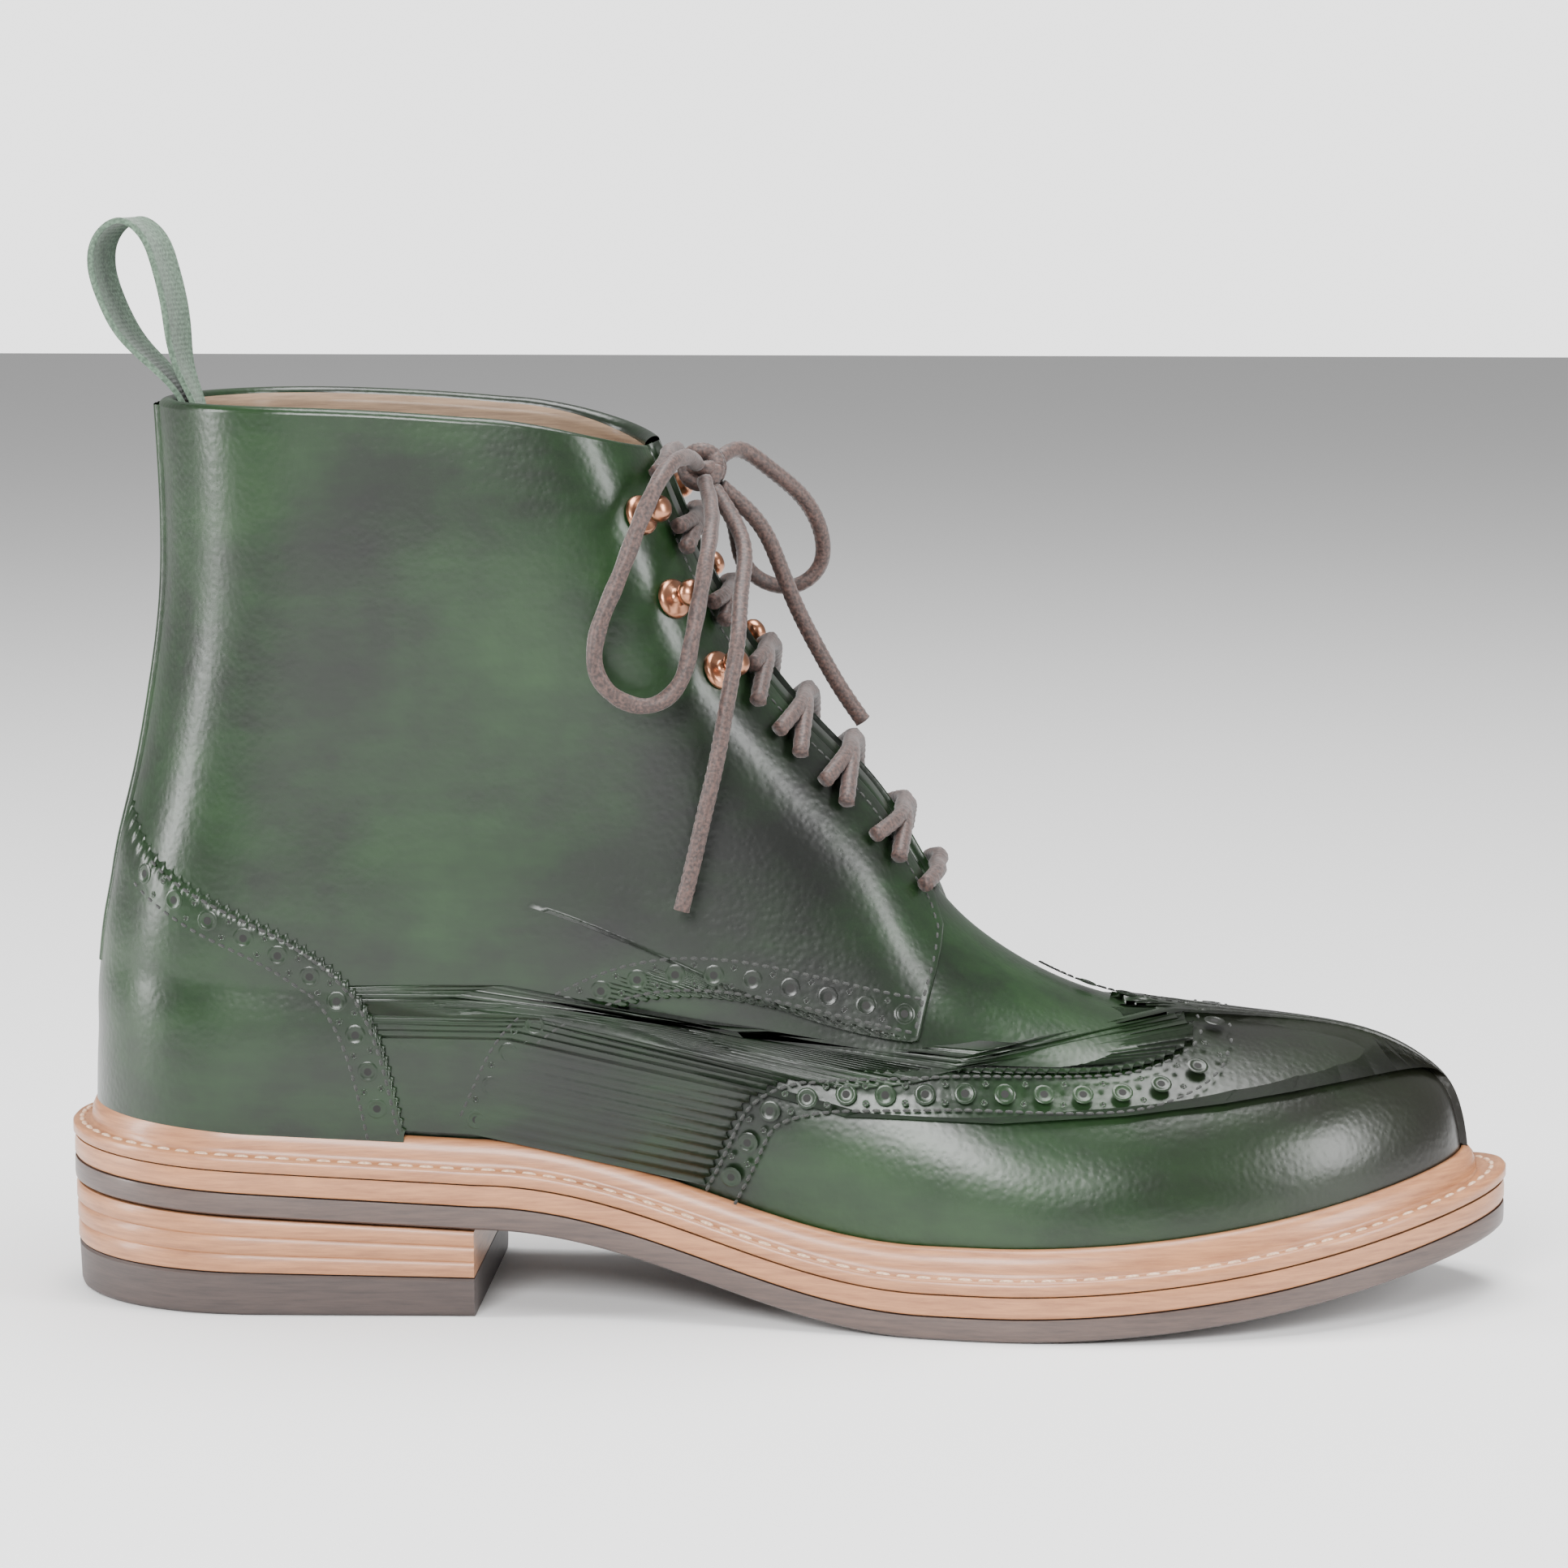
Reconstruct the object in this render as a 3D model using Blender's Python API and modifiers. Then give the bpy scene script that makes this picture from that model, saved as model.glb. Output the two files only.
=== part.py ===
"""Wingtip brogue boot for the right foot, green leather on a stitched leather sole.

Metres, +X to the toe, +Y to the wearer's left (the inner side), +Z up.
The origin is on the floor under the middle of the sole.
The upper is one surface, worked out from a side profile and a half width,
and every overlay is cut from that same surface.
"""
import math

import bpy
import bmesh
import numpy as np
from mathutils import Matrix, Vector

# Sole
SOLE_LENGTH = 0.315
SOLE_WIDTH = 0.110
HEEL_HEIGHT = 0.0239
HEEL_FRONT_SHARE = 0.80
TOE_SPRING = 0.0150
TOE_SPRING_POWER = 1.85
OUTSOLE = 0.0053
MIDSOLE = 0.0031
WELT = 0.0031
SOLE_EDGE_ROUND = 0.0008
SOLE_HEEL_ROUND = 0.043
SOLE_TOE_ROUND = 0.0945
BREAST_SHARE = 0.293
BALL_BACK_SHARE = 0.600
BALL_FRONT_SHARE = 0.645
GAP = 0.0003

# Storm bead of the welt, which stands against the foot of the upper, and
# rises by a share of its height
BEAD_THICK = 0.0034

# Heel
TOP_LIFT = 0.0100
TOP_LIFT_FRONT_SHARE = 0.84
HEEL_TAPER = 0.0014
NOTCH_FROM_BACK = 0.0355
NOTCH_LENGTH = 0.0074
NOTCH_HEIGHT = 0.0023
NOTCH_DEPTH = 0.0050

# Upper
UPPER_HEIGHT = 0.165
BEAD_RISE = UPPER_HEIGHT * 0.0364
WALL = 0.0020
SIDE_MARGIN = 0.0080
SHAFT_WIDTH = 0.078
HEEL_ROUND = 0.036
TOE_ROUND = 0.086
BACK_REACH = 0.100
SIDE_SWELL = 0.0028
RIM_RISE = 0.0020
INSOLE = 0.0040

# Throat, tongue and overlays
THROAT_SHARE = 0.635
THROAT_HALF_LOW = 0.0105
THROAT_HALF_HIGH = 0.0150
TONGUE_HALF = 0.0245
TONGUE_WALL = 0.0022
TONGUE_CLEAR = 0.0011
TONGUE_FOOT_SHARE = 0.54
TONGUE_TOP_SHARE = 0.985
CAP_THICK = 0.0013
QUARTER_THICK = 0.0013
COUNTER_THICK = 0.0021
STRIP_THICK = 0.0020
STRIP_HALF = 0.0105
CAP_CLEAR = 0.0110
COUNTER_CLEAR = 0.0040

# Fastenings
LACE = 0.0035
PUNCH = 0.0036
HOOK_BASE = 0.0086
HOOK_HEIGHT = 0.0078
HOOK_STEPS = 8
TAPE_WIDTH = 0.0120
TAPE_THICK = 0.0014
TAPE_TURN_ANGLE = 0.26
TAPE_TURN_LOW = -0.0038
TAPE_TURN_HIGH = 0.0182
STRAND_CLEAR = 0.0010
STRAND_SPREAD_SHARE = 0.25
HOOK_REACH_SHARE = 0.72
LACE_LEAN = 0.0030
TIE_LEAN = 0.0040
BOW_STEP_SHARE = 2.1
KNOT_SIZE = (0.0110, 0.0135, 0.0120)
KNOT_PLACE = (0.0120, 0.0, 0.0086)
KNOT_TILT_ANGLE = -0.45

# How finely the surfaces are cut
SIDE_COLUMNS = 16
COLUMN_CROWD = 1.12
HIGH_ROWS = 6
SOLE_COLUMNS = 30
STATION_CLEAR = 0.0030

# Well past the widest part, for cutters
BROAD = 0.150

# Sole in plan, with columns: along (share of the length from the heel back),
# outer and inner half width (shares of half the sole width)
SOLE_PLAN = np.array([
    (0.00, 0.69, 0.69),
    (0.12, 0.71, 0.71),
    (0.25, 0.69, 0.66),
    (0.38, 0.70, 0.59),
    (0.48, 0.79, 0.64),
    (0.58, 0.925, 0.79),
    (0.66, 1.00, 0.93),
    (0.75, 0.985, 1.00),
    (0.86, 0.88, 0.98),
    (0.95, 0.73, 0.90),
    (1.00, 0.64, 0.84),
])

# Side profile of the upper, a row for each section from the welt to the
# collar, with columns: front along, front rise, back along, back rise
# (along as shares of the sole length, rise as shares of the upper height)
PROFILE = np.array([
    (0.968, 0.000, 0.024, 0.000),
    (0.968, 0.055, 0.025, 0.055),
    (0.960, 0.125, 0.026, 0.110),
    (0.941, 0.175, 0.027, 0.147),
    (0.905, 0.225, 0.027, 0.180),
    (0.849, 0.265, 0.028, 0.214),
    (0.779, 0.298, 0.030, 0.250),
    (0.708, 0.337, 0.033, 0.293),
    (0.643, 0.405, 0.038, 0.342),
    (0.600, 0.486, 0.044, 0.403),
    (0.565, 0.593, 0.056, 0.495),
    (0.525, 0.665, 0.067, 0.605),
    (0.486, 0.730, 0.075, 0.715),
    (0.447, 0.826, 0.077, 0.837),
    (0.409, 0.973, 0.074, 0.976),
])

# Half width of the shaft, with columns: rise (share of the upper height),
# half width (share of half the shaft width)
SHAFT = np.array([
    (0.00, 0.90),
    (0.15, 0.92),
    (0.30, 0.90),
    (0.45, 0.88),
    (0.65, 0.93),
    (0.85, 0.985),
    (1.00, 1.00),
])

# Pattern lines in the side view, with columns: along (share of the sole
# length), rise (share of the upper height)
WING_LINE = np.array([
    (0.450, 0.066),
    (0.465, 0.134),
    (0.485, 0.205),
    (0.529, 0.253),
    (0.605, 0.272),
    (0.659, 0.268),
    (0.714, 0.260),
    (0.763, 0.266),
    (0.781, 0.282),
    (0.765, 0.302),
    (0.731, 0.323),
])
QUARTER_LINE = np.array([
    (0.594, 0.309),
    (0.566, 0.319),
    (0.523, 0.326),
    (0.468, 0.319),
    (0.413, 0.285),
    (0.369, 0.232),
    (0.336, 0.178),
    (0.317, 0.112),
    (0.306, 0.066),
])
COUNTER_LINE = np.array([
    (0.245, 0.066),
    (0.239, 0.125),
    (0.226, 0.203),
    (0.201, 0.269),
    (0.160, 0.318),
    (0.116, 0.354),
    (0.076, 0.400),
    (0.056, 0.450),
])
FACING_LINE = np.array([
    (0.607, 0.440),
    (0.606, 0.412),
    (0.601, 0.367),
    (0.596, 0.324),
])

# Places on the facing, with columns: along, rise (shares as above)
PUNCHES = np.array([
    (0.577, 0.500),
    (0.544, 0.562),
    (0.512, 0.613),
    (0.481, 0.665),
])
HOOKS = np.array([
    (0.455, 0.724),
    (0.425, 0.801),
    (0.403, 0.895),
])

# Section of the storm bead from its foot to its crest, with columns: reach
# out from the upper (share of its thickness), drop (share of its rise)
BEAD_SECTION = np.array([
    (1.00, 1.00),
    (0.92, 0.45),
    (0.50, 0.10),
])

# Section of a speed hook, with columns: radius (share of half its base),
# height (share of its height)
HOOK_SECTION = np.array([
    (1.00, 0.00),
    (0.95, 0.16),
    (0.40, 0.26),
    (0.36, 0.42),
    (0.68, 0.60),
    (0.62, 0.84),
    (0.34, 0.97),
])

# Routes of the bow, in metres from the middle of the top hooks' bases, and
# from beside the knot outward. The loops come
# back to the knot, and the ends hang to their tips.
BOW = {
    "lace_loop_lateral": [
        (0.0101, -0.0200, 0.0121), (0.0066, -0.0330, 0.0101),
        (0.0021, -0.0405, 0.0006), (-0.0031, -0.0445, -0.0132), (-0.0068, -0.0465, -0.0234),
        (-0.0065, -0.0468, -0.0319), (-0.0006, -0.0460, -0.0374), (0.0045, -0.0452, -0.0380),
        (0.0095, -0.0445, -0.0347), (0.0126, -0.0435, -0.0258), (0.0141, -0.0410, -0.0174),
        (0.0156, -0.0330, -0.0064), (0.0156, -0.0210, 0.0001),
    ],
    "lace_loop_medial": [
        (0.0196, 0.0120, 0.0116), (0.0254, 0.0160, 0.0076),
        (0.0331, 0.0210, 0.0002), (0.0369, 0.0245, -0.0082), (0.0361, 0.0265, -0.0156),
        (0.0311, 0.0265, -0.0195), (0.0246, 0.0250, -0.0187), (0.0201, 0.0215, -0.0144),
        (0.0186, 0.0170, -0.0074), (0.0171, 0.0125, -0.0009),
    ],
    "lace_end_lateral": [
        (0.0216, -0.0120, -0.0064), (0.0221, -0.0240, -0.0154),
        (0.0218, -0.0378, -0.0274), (0.0200, -0.0412, -0.0384), (0.0181, -0.0428, -0.0494),
        (0.0156, -0.0438, -0.0604), (0.0131, -0.0443, -0.0714), (0.0106, -0.0448, -0.0814),
    ],
    "lace_end_medial": [
        (0.0251, 0.0055, -0.0054), (0.0286, 0.0070, -0.0134),
        (0.0326, 0.0085, -0.0234), (0.0371, 0.0100, -0.0324), (0.0416, 0.0110, -0.0404),
        (0.0466, 0.0120, -0.0479),
    ],
}

# Side view of the pull loop, in metres along X and Z from the top of the
# back line. Both legs stand inside the collar.
LOOP_ROUTE = [
    (0.0045, -0.0108), (0.0040, -0.0003), (-0.0010, 0.0067), (-0.0082, 0.0142),
    (-0.0124, 0.0222), (-0.0144, 0.0302), (-0.0128, 0.0362), (-0.0080, 0.0392),
    (-0.0034, 0.0362), (-0.0008, 0.0302), (0.0016, 0.0192), (0.0034, 0.0072),
    (0.0066, -0.0018), (0.0072, -0.0108),
]

COLLECTION = "brogue_boot"
CUTTERS = "cutters"

FINISHES = {
    "green_leather": ((0.022, 0.060, 0.016), 0.34, 0.0),
    "lining_leather": ((0.090, 0.055, 0.030), 0.60, 0.0),
    "tan_edge": ((0.330, 0.120, 0.040), 0.45, 0.0),
    "dark_edge": ((0.050, 0.030, 0.024), 0.50, 0.0),
    "heel_rubber": ((0.030, 0.022, 0.020), 0.70, 0.0),
    "hook_metal": ((0.340, 0.170, 0.090), 0.35, 1.0),
    "lace_cord": ((0.045, 0.026, 0.020), 0.65, 0.0),
    "loop_tape": ((0.050, 0.090, 0.060), 0.80, 0.0),
}


def spline(knots, values, at):
    """Natural cubic spline through the knots, read at every place asked for."""
    knots = np.asarray(knots, float)
    values = np.asarray(values, float)
    steps = np.diff(knots)
    count = len(knots)
    system = np.zeros((count, count))
    right = np.zeros(count)
    system[0, 0] = 1.0
    system[-1, -1] = 1.0
    for i in range(1, count - 1):
        system[i, i - 1] = steps[i - 1]
        system[i, i] = 2.0 * (steps[i - 1] + steps[i])
        system[i, i + 1] = steps[i]
        right[i] = 6.0 * ((values[i + 1] - values[i]) / steps[i]
                          - (values[i] - values[i - 1]) / steps[i - 1])
    bend = np.linalg.solve(system, right)
    at = np.asarray(at, float)
    i = np.clip(np.searchsorted(knots, at) - 1, 0, count - 2)
    after = at - knots[i]
    before = knots[i + 1] - at
    step = steps[i]
    return ((bend[i] * before ** 3 + bend[i + 1] * after ** 3) / (6.0 * step)
            + (values[i] / step - bend[i] * step / 6.0) * before
            + (values[i + 1] / step - bend[i + 1] * step / 6.0) * after)


def ease(t):
    """Smooth step from 0 to 1."""
    t = np.clip(t, 0.0, 1.0)
    return t * t * (3.0 - 2.0 * t)


def share(x):
    """Place along the sole as a share of its length, from the heel back."""
    return np.asarray(x, float) / SOLE_LENGTH + 0.5


def along(s):
    """Place along X of a share of the sole length."""
    return (np.asarray(s, float) - 0.5) * SOLE_LENGTH


def round_end(t, power):
    """Half width share of a rounded end, 0 at its tip and 1 past the rounding."""
    t = np.clip(t, 0.0, 1.0)
    return np.sqrt(np.clip(1.0 - (1.0 - t) ** power, 0.0, None))


def sole_under(x):
    """Underside of the outsole: heel seat, arch, flat ball and toe spring."""
    s = share(x)
    seat = HEEL_HEIGHT * (1.0 - (1.0 - HEEL_FRONT_SHARE) * np.clip(s, 0.0, BREAST_SHARE) / BREAST_SHARE)
    arch = (1.0 + np.cos(np.pi * np.clip((s - BREAST_SHARE) / (BALL_BACK_SHARE - BREAST_SHARE), 0.0, 1.0))) / 2.0
    spring = np.clip((s - BALL_FRONT_SHARE) / (1.0 - BALL_FRONT_SHARE), 0.0, None) ** TOE_SPRING_POWER
    return seat * arch + TOE_SPRING * spring


def midsole_under(x):
    return sole_under(x) + OUTSOLE + GAP


def feather(x):
    """Level where the welt and the upper stand on the midsole."""
    return midsole_under(x) + MIDSOLE + GAP * 4.5


def sole_plan(x):
    """Half width and middle line of the sole, before its ends are rounded."""
    s = share(x)
    outer = spline(SOLE_PLAN[:, 0], SOLE_PLAN[:, 1], s)
    inner = spline(SOLE_PLAN[:, 0], SOLE_PLAN[:, 2], s)
    return (outer + inner) * SOLE_WIDTH / 4.0, (inner - outer) * SOLE_WIDTH / 4.0


def profile(h, column):
    """One column of the side profile at a height share from 0 to 1."""
    rows = np.arange(len(PROFILE)) / (len(PROFILE) - 1.0)
    return spline(rows, PROFILE[:, column], h)


BEAD_ROW = 1.0 / (len(PROFILE) - 1.0)
HEIGHTS = np.linspace(0.0, 1.0, 1401)
FRONT_X = along(profile(HEIGHTS, 0))
FRONT_Z = feather(FRONT_X) + profile(HEIGHTS, 1) * UPPER_HEIGHT
BACK_X = along(profile(HEIGHTS, 2))
BACK_Z = feather(BACK_X) + profile(HEIGHTS, 3) * UPPER_HEIGHT
TOE_TIP = FRONT_X.max()
SHIN_SLOPE = (FRONT_Z[-1] - FRONT_Z[-60]) / (FRONT_X[-1] - FRONT_X[-60])


def ridge(x):
    """Height of the front line over a place along the foot."""
    order = np.argsort(FRONT_X)
    low = np.interp(x, FRONT_X[order], FRONT_Z[order])
    return np.where(x < FRONT_X[-1], FRONT_Z[-1] + SHIN_SLOPE * (x - FRONT_X[-1]), low)


def back_line(z):
    """Place along X of the back line at a height."""
    order = np.argsort(BACK_Z)
    return np.interp(z, BACK_Z[order], BACK_X[order])


def middle(x, z):
    """Middle line of the upper, which leans to the inner side at the toe only."""
    rise = (z - feather(x)) / UPPER_HEIGHT
    return sole_plan(x)[1] * (1.0 - ease((rise - 0.15) / 0.5))


def half_width(x, z, tip):
    """Half width of the upper at a place in its side view.

    Foot width below goes over into shaft width above, and the width closes
    with rounded ends at the ridge, the back line and the toe tip.
    """
    rise = (z - feather(x)) / UPPER_HEIGHT
    foot = sole_plan(x)[0] - SIDE_MARGIN
    shaft = spline(SHAFT[:, 0], SHAFT[:, 1], np.clip(rise, 0.0, 1.1)) * SHAFT_WIDTH / 2.0
    mix = ease(rise / 0.42) * (1.0 - ease((share(x) - 0.532) / 0.238))
    swell = SIDE_SWELL * np.sin(np.pi * np.clip(rise / 0.24, 0.0, 1.0))
    width = foot * (1.0 - mix) + shaft * mix + swell
    closing = np.clip((z - feather(x)) / np.maximum(ridge(x) - feather(x), 1e-6), 0.0, 1.0)
    power = 2.5 + 5.5 * (1.0 - ease((share(x) - 0.405) / 0.302))
    over = np.sqrt(np.clip(1.0 - closing ** power, 0.0, None))
    heel = round_end((x - back_line(z)) / HEEL_ROUND, 2.3)
    toe = round_end((tip - x) / TOE_ROUND, 2.5)
    return width * over * heel * toe


def side_view(c, h):
    """Side-view place of a point: c from 0 at the front to 1 at the back,
    h from 0 at the welt to 1 at the collar.

    Columns keep their distance from the back line, so they stand upright
    at the heel and fan out over the forefoot.
    """
    near = (1.0 + np.cos(np.pi * c)) / 2.0
    front = along(profile(h, 0))
    back = along(profile(h, 2))
    length = front - back
    reach = BACK_REACH * near + (length - BACK_REACH) * near ** 4
    rise = profile(h, 3) + (profile(h, 1) - profile(h, 3)) * reach / length
    x = back + reach
    rim = RIM_RISE * ease((h - 0.80) / 0.20) * np.sin(np.pi * np.clip(reach / length, 0.0, 1.0))
    return x, feather(x) + rise * UPPER_HEIGHT + rim, front


def skin(w, h):
    """Point of the upper: w is 0 at the front, -1 and 1 at the back, by the
    outer side when negative and by the inner side when positive."""
    w = (w + 1.0) % 2.0 - 1.0
    c = np.abs(w)
    x, z, front = side_view(c, h)
    wide = half_width(x, z, np.maximum(TOE_TIP, front))
    wide = np.where((c < 1e-9) | (c > 1.0 - 1e-9), 0.0, wide)
    return np.stack([x, middle(x, z) + np.sign(w) * wide, z], -1)


def normal(w, h):
    """Outward normal of the upper, from central differences."""
    small = 2e-3
    around = skin(w + small, h) - skin(w - small, h)
    upward = skin(w, h + small) - skin(w, h - small)
    out = np.cross(around, upward)
    return out / (np.linalg.norm(out, axis=-1, keepdims=True) + 1e-15)


def surface(w, h, lift=0.0):
    """Point of the upper moved out along its normal."""
    w, h, lift = np.broadcast_arrays(*(np.asarray(a, float) for a in (w, h, lift)))
    return skin(w, h) + normal(w, h) * lift[..., None]


def column_at(width, h):
    """Column share where the upper is a given half width out from the front."""
    columns = np.linspace(0.0, 0.5, 401)
    widths = skin(columns, np.full_like(columns, h))
    out = widths[:, 1] - middle(widths[:, 0], widths[:, 2])
    return float(np.interp(width, np.maximum.accumulate(out), columns))


def side_spot(x, z, side, lift=0.0):
    """Point on one side of the upper over a side-view place, moved out along
    the normal, and that normal. The side is -1 outer, 1 inner."""
    small = 1e-4
    wide = half_width(x, z, TOE_TIP)
    slope_x = (half_width(x + small, z, TOE_TIP) - half_width(x - small, z, TOE_TIP)) / (2 * small)
    slope_z = (half_width(x, z + small, TOE_TIP) - half_width(x, z - small, TOE_TIP)) / (2 * small)
    out = np.array([-float(slope_x), side, -float(slope_z)])
    out /= np.linalg.norm(out)
    point = np.array([float(x), float(middle(x, z)) + side * float(wide), float(z)])
    return point + out * lift, out


def throat_half(h):
    """Half width of the throat opening at a height share."""
    t = np.clip((h - THROAT_SHARE) / (1.0 - THROAT_SHARE), 0.0, 1.0)
    return THROAT_HALF_LOW + (THROAT_HALF_HIGH - THROAT_HALF_LOW) * t


def tidy_scene():
    """Remove what the scene holds and make the two collections."""
    for old in list(bpy.data.objects):
        bpy.data.objects.remove(old, do_unlink=True)
    for name in (COLLECTION, CUTTERS):
        if name not in bpy.data.collections:
            bpy.data.collections.new(name)
        if name not in bpy.context.scene.collection.children:
            bpy.context.scene.collection.children.link(bpy.data.collections[name])


def material(name):
    """Principled material of a finish."""
    found = bpy.data.materials.get(name)
    if found:
        return found
    colour, rough, metal = FINISHES[name]
    made = bpy.data.materials.new(name)
    made.use_nodes = True
    shader = made.node_tree.nodes["Principled BSDF"]
    shader.inputs["Base Color"].default_value = (*colour, 1.0)
    shader.inputs["Roughness"].default_value = rough
    shader.inputs["Metallic"].default_value = metal
    return made


def add_mesh(name, points, faces, finish, smooth=True, cutter=False):
    """Object from points and faces, in the collection of pieces or cutters."""
    mesh = bpy.data.meshes.new(name)
    mesh.from_pydata([tuple(p) for p in points], [], faces)
    mesh.validate()
    mesh.update()
    if smooth:
        mesh.shade_smooth()
    made = bpy.data.objects.new(name, mesh)
    bpy.data.collections[CUTTERS if cutter else COLLECTION].objects.link(made)
    if cutter:
        made.hide_render = True
        made.display_type = "WIRE"
    else:
        mesh.materials.append(material(finish))
        made.data.set_sharp_from_angle(angle=math.radians(40.0))
    return made


def solidify(made, thickness, offset):
    """Wall of a shell: offset -1 builds inward, 1 outward."""
    wall = made.modifiers.new("wall", "SOLIDIFY")
    wall.thickness = thickness
    wall.offset = offset
    wall.use_even_offset = True
    wall.use_rim = True
    return wall


def grid_faces(rows, columns, closed=False):
    """Quads of a grid whose points are stored row by row."""
    faces = []
    for r in range(rows - 1):
        for i in range(columns if closed else columns - 1):
            j = (i + 1) % columns
            faces.append((r * columns + i, r * columns + j,
                          (r + 1) * columns + j, (r + 1) * columns + i))
    return faces


def half_columns(count=SIDE_COLUMNS):
    """Columns from the throat edge to the back, crowded at both ends."""
    return (np.arange(count + 1) / count) ** COLUMN_CROWD


def sole_stations():
    """Places along the sole where its plates are cut, crowded at both ends."""
    near = (1.0 + np.cos(np.pi * half_columns(SOLE_COLUMNS)[::-1])) / 2.0
    x = BACK_REACH * near + (SOLE_LENGTH - BACK_REACH) * near ** 4 - SOLE_LENGTH / 2.0
    flat = along(np.array([BALL_BACK_SHARE, BALL_FRONT_SHARE]))
    clear = np.all(np.abs(x[:, None] - flat) > STATION_CLEAR, axis=1)
    clear &= (x < flat[0]) | (x > flat[1])
    return np.sort(np.concatenate([x[clear], flat]))


def sole_edge(x, inset):
    """Outer and inner edge of the sole, moved in by an inset."""
    half, mid = sole_plan(x)
    end = SOLE_LENGTH / 2.0 - inset
    x = np.clip(x, -end, end)
    wide = ((half - inset) * round_end((x + end) / SOLE_HEEL_ROUND, 2.2)
            * round_end((end - x) / SOLE_TOE_ROUND, 2.5))
    return mid - wide, mid + wide


def plate(name, stations, levels, finish, front_cut=False):
    """Plate of the sole: at each level an outline with its inset and height.

    Stations run from the heel tip forward. The toe end is a tip, or a
    straight cut across the plate.
    """
    points = []
    rings = []
    for inset, height in levels:
        end = SOLE_LENGTH / 2.0 - inset
        x = np.clip(stations, -end, end)
        outer, inner = sole_edge(x, inset)
        z = height(stations)
        ring = [len(points)]
        points.append((x[0], (outer[0] + inner[0]) / 2.0, z[0]))
        last = len(x) if front_cut else len(x) - 1
        for i in range(1, last):
            ring.append(len(points))
            points.append((x[i], outer[i], z[i]))
        if not front_cut:
            ring.append(len(points))
            points.append((x[-1], (outer[-1] + inner[-1]) / 2.0, z[-1]))
        for i in reversed(range(1, last)):
            ring.append(len(points))
            points.append((x[i], inner[i], z[i]))
        rings.append(ring)
    size = len(rings[0])
    faces = []
    for low, high in zip(rings[:-1], rings[1:]):
        for i in range(size):
            j = (i + 1) % size
            faces.append((low[i], low[j], high[j], high[i]))
    across = last - 1
    for ring, up in ((rings[0], False), (rings[-1], True)):
        lid = [(ring[0], ring[1], ring[-1])]
        for i in range(1, across):
            lid.append((ring[i], ring[i + 1], ring[size - i - 1], ring[size - i]))
        if not front_cut:
            lid.append((ring[across], ring[across + 1], ring[across + 2]))
        faces.extend(face if up else face[::-1] for face in lid)
    return add_mesh(name, points, faces, finish)


def heel_stations():
    """Stations of the heel, which end at its breast."""
    stations = sole_stations()
    breast = float(along(BREAST_SHARE))
    back = stations[stations < breast - 0.004]
    return np.append(back, breast)


def top_lift_top(x):
    """Top of the rubber lift, a little lower at the breast."""
    s = np.clip(share(x) / BREAST_SHARE, 0.0, 1.0)
    return TOP_LIFT * (1.0 - (1.0 - TOP_LIFT_FRONT_SHARE) * s)


def flat_floor(x):
    return np.zeros_like(x)


def build_sole():
    """Outsole, midsole, heel stack and rubber top lift."""
    stations = sole_stations()
    plate("outsole", stations, [
        (SOLE_EDGE_ROUND * 2.0, sole_under),
        (GAP, lambda x: sole_under(x) + SOLE_EDGE_ROUND * 1.5),
        (GAP, lambda x: sole_under(x) + OUTSOLE),
    ], "dark_edge")
    plate("midsole", stations, [
        (GAP * 2.0, midsole_under),
        (GAP * 2.0, lambda x: midsole_under(x) + MIDSOLE),
    ], "tan_edge")
    back = heel_stations()

    def stack_under(x):
        return top_lift_top(x) + GAP

    def stack_top(x):
        return sole_under(x) - GAP

    def stack_middle(x):
        return (stack_under(x) + stack_top(x)) / 2.0

    plate("heel_stack", back, [
        (HEEL_TAPER * 0.6, stack_under),
        (HEEL_TAPER * 0.5, lambda x: stack_middle(x) - GAP),
        (HEEL_TAPER * 0.5 + GAP * 1.5, stack_middle),
        (HEEL_TAPER * 0.45, lambda x: stack_middle(x) + GAP),
        (HEEL_TAPER * 0.3, stack_top),
    ], "tan_edge", front_cut=True)
    lift = plate("heel_top_lift", back, [
        (HEEL_TAPER + SOLE_EDGE_ROUND * 1.6, flat_floor),
        (HEEL_TAPER, lambda x: flat_floor(x) + SOLE_EDGE_ROUND * 2.0),
        (HEEL_TAPER * 0.7, top_lift_top),
    ], "heel_rubber", front_cut=True)
    cut_notch(lift)


def cut_notch(lift):
    """Shallow slot in the floor edge of the top lift, on the outer side."""
    at = -SOLE_LENGTH / 2.0 + NOTCH_FROM_BACK
    outer = float(sole_edge(np.array([at]), HEEL_TAPER)[0][0])
    mesh = bpy.data.meshes.new("notch")
    shape = bmesh.new()
    bmesh.ops.create_cube(shape, size=1.0)
    bmesh.ops.scale(shape, verts=shape.verts,
                    vec=(NOTCH_LENGTH, NOTCH_DEPTH * 2.0, NOTCH_HEIGHT * 2.0))
    shape.to_mesh(mesh)
    shape.free()
    notch = bpy.data.objects.new("notch", mesh)
    notch.location = (at, outer, 0.0)
    notch.hide_render = True
    notch.display_type = "WIRE"
    bpy.data.collections[CUTTERS].objects.link(notch)
    cut = lift.modifiers.new("notch", "BOOLEAN")
    cut.operation = "DIFFERENCE"
    cut.object = notch


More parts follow.
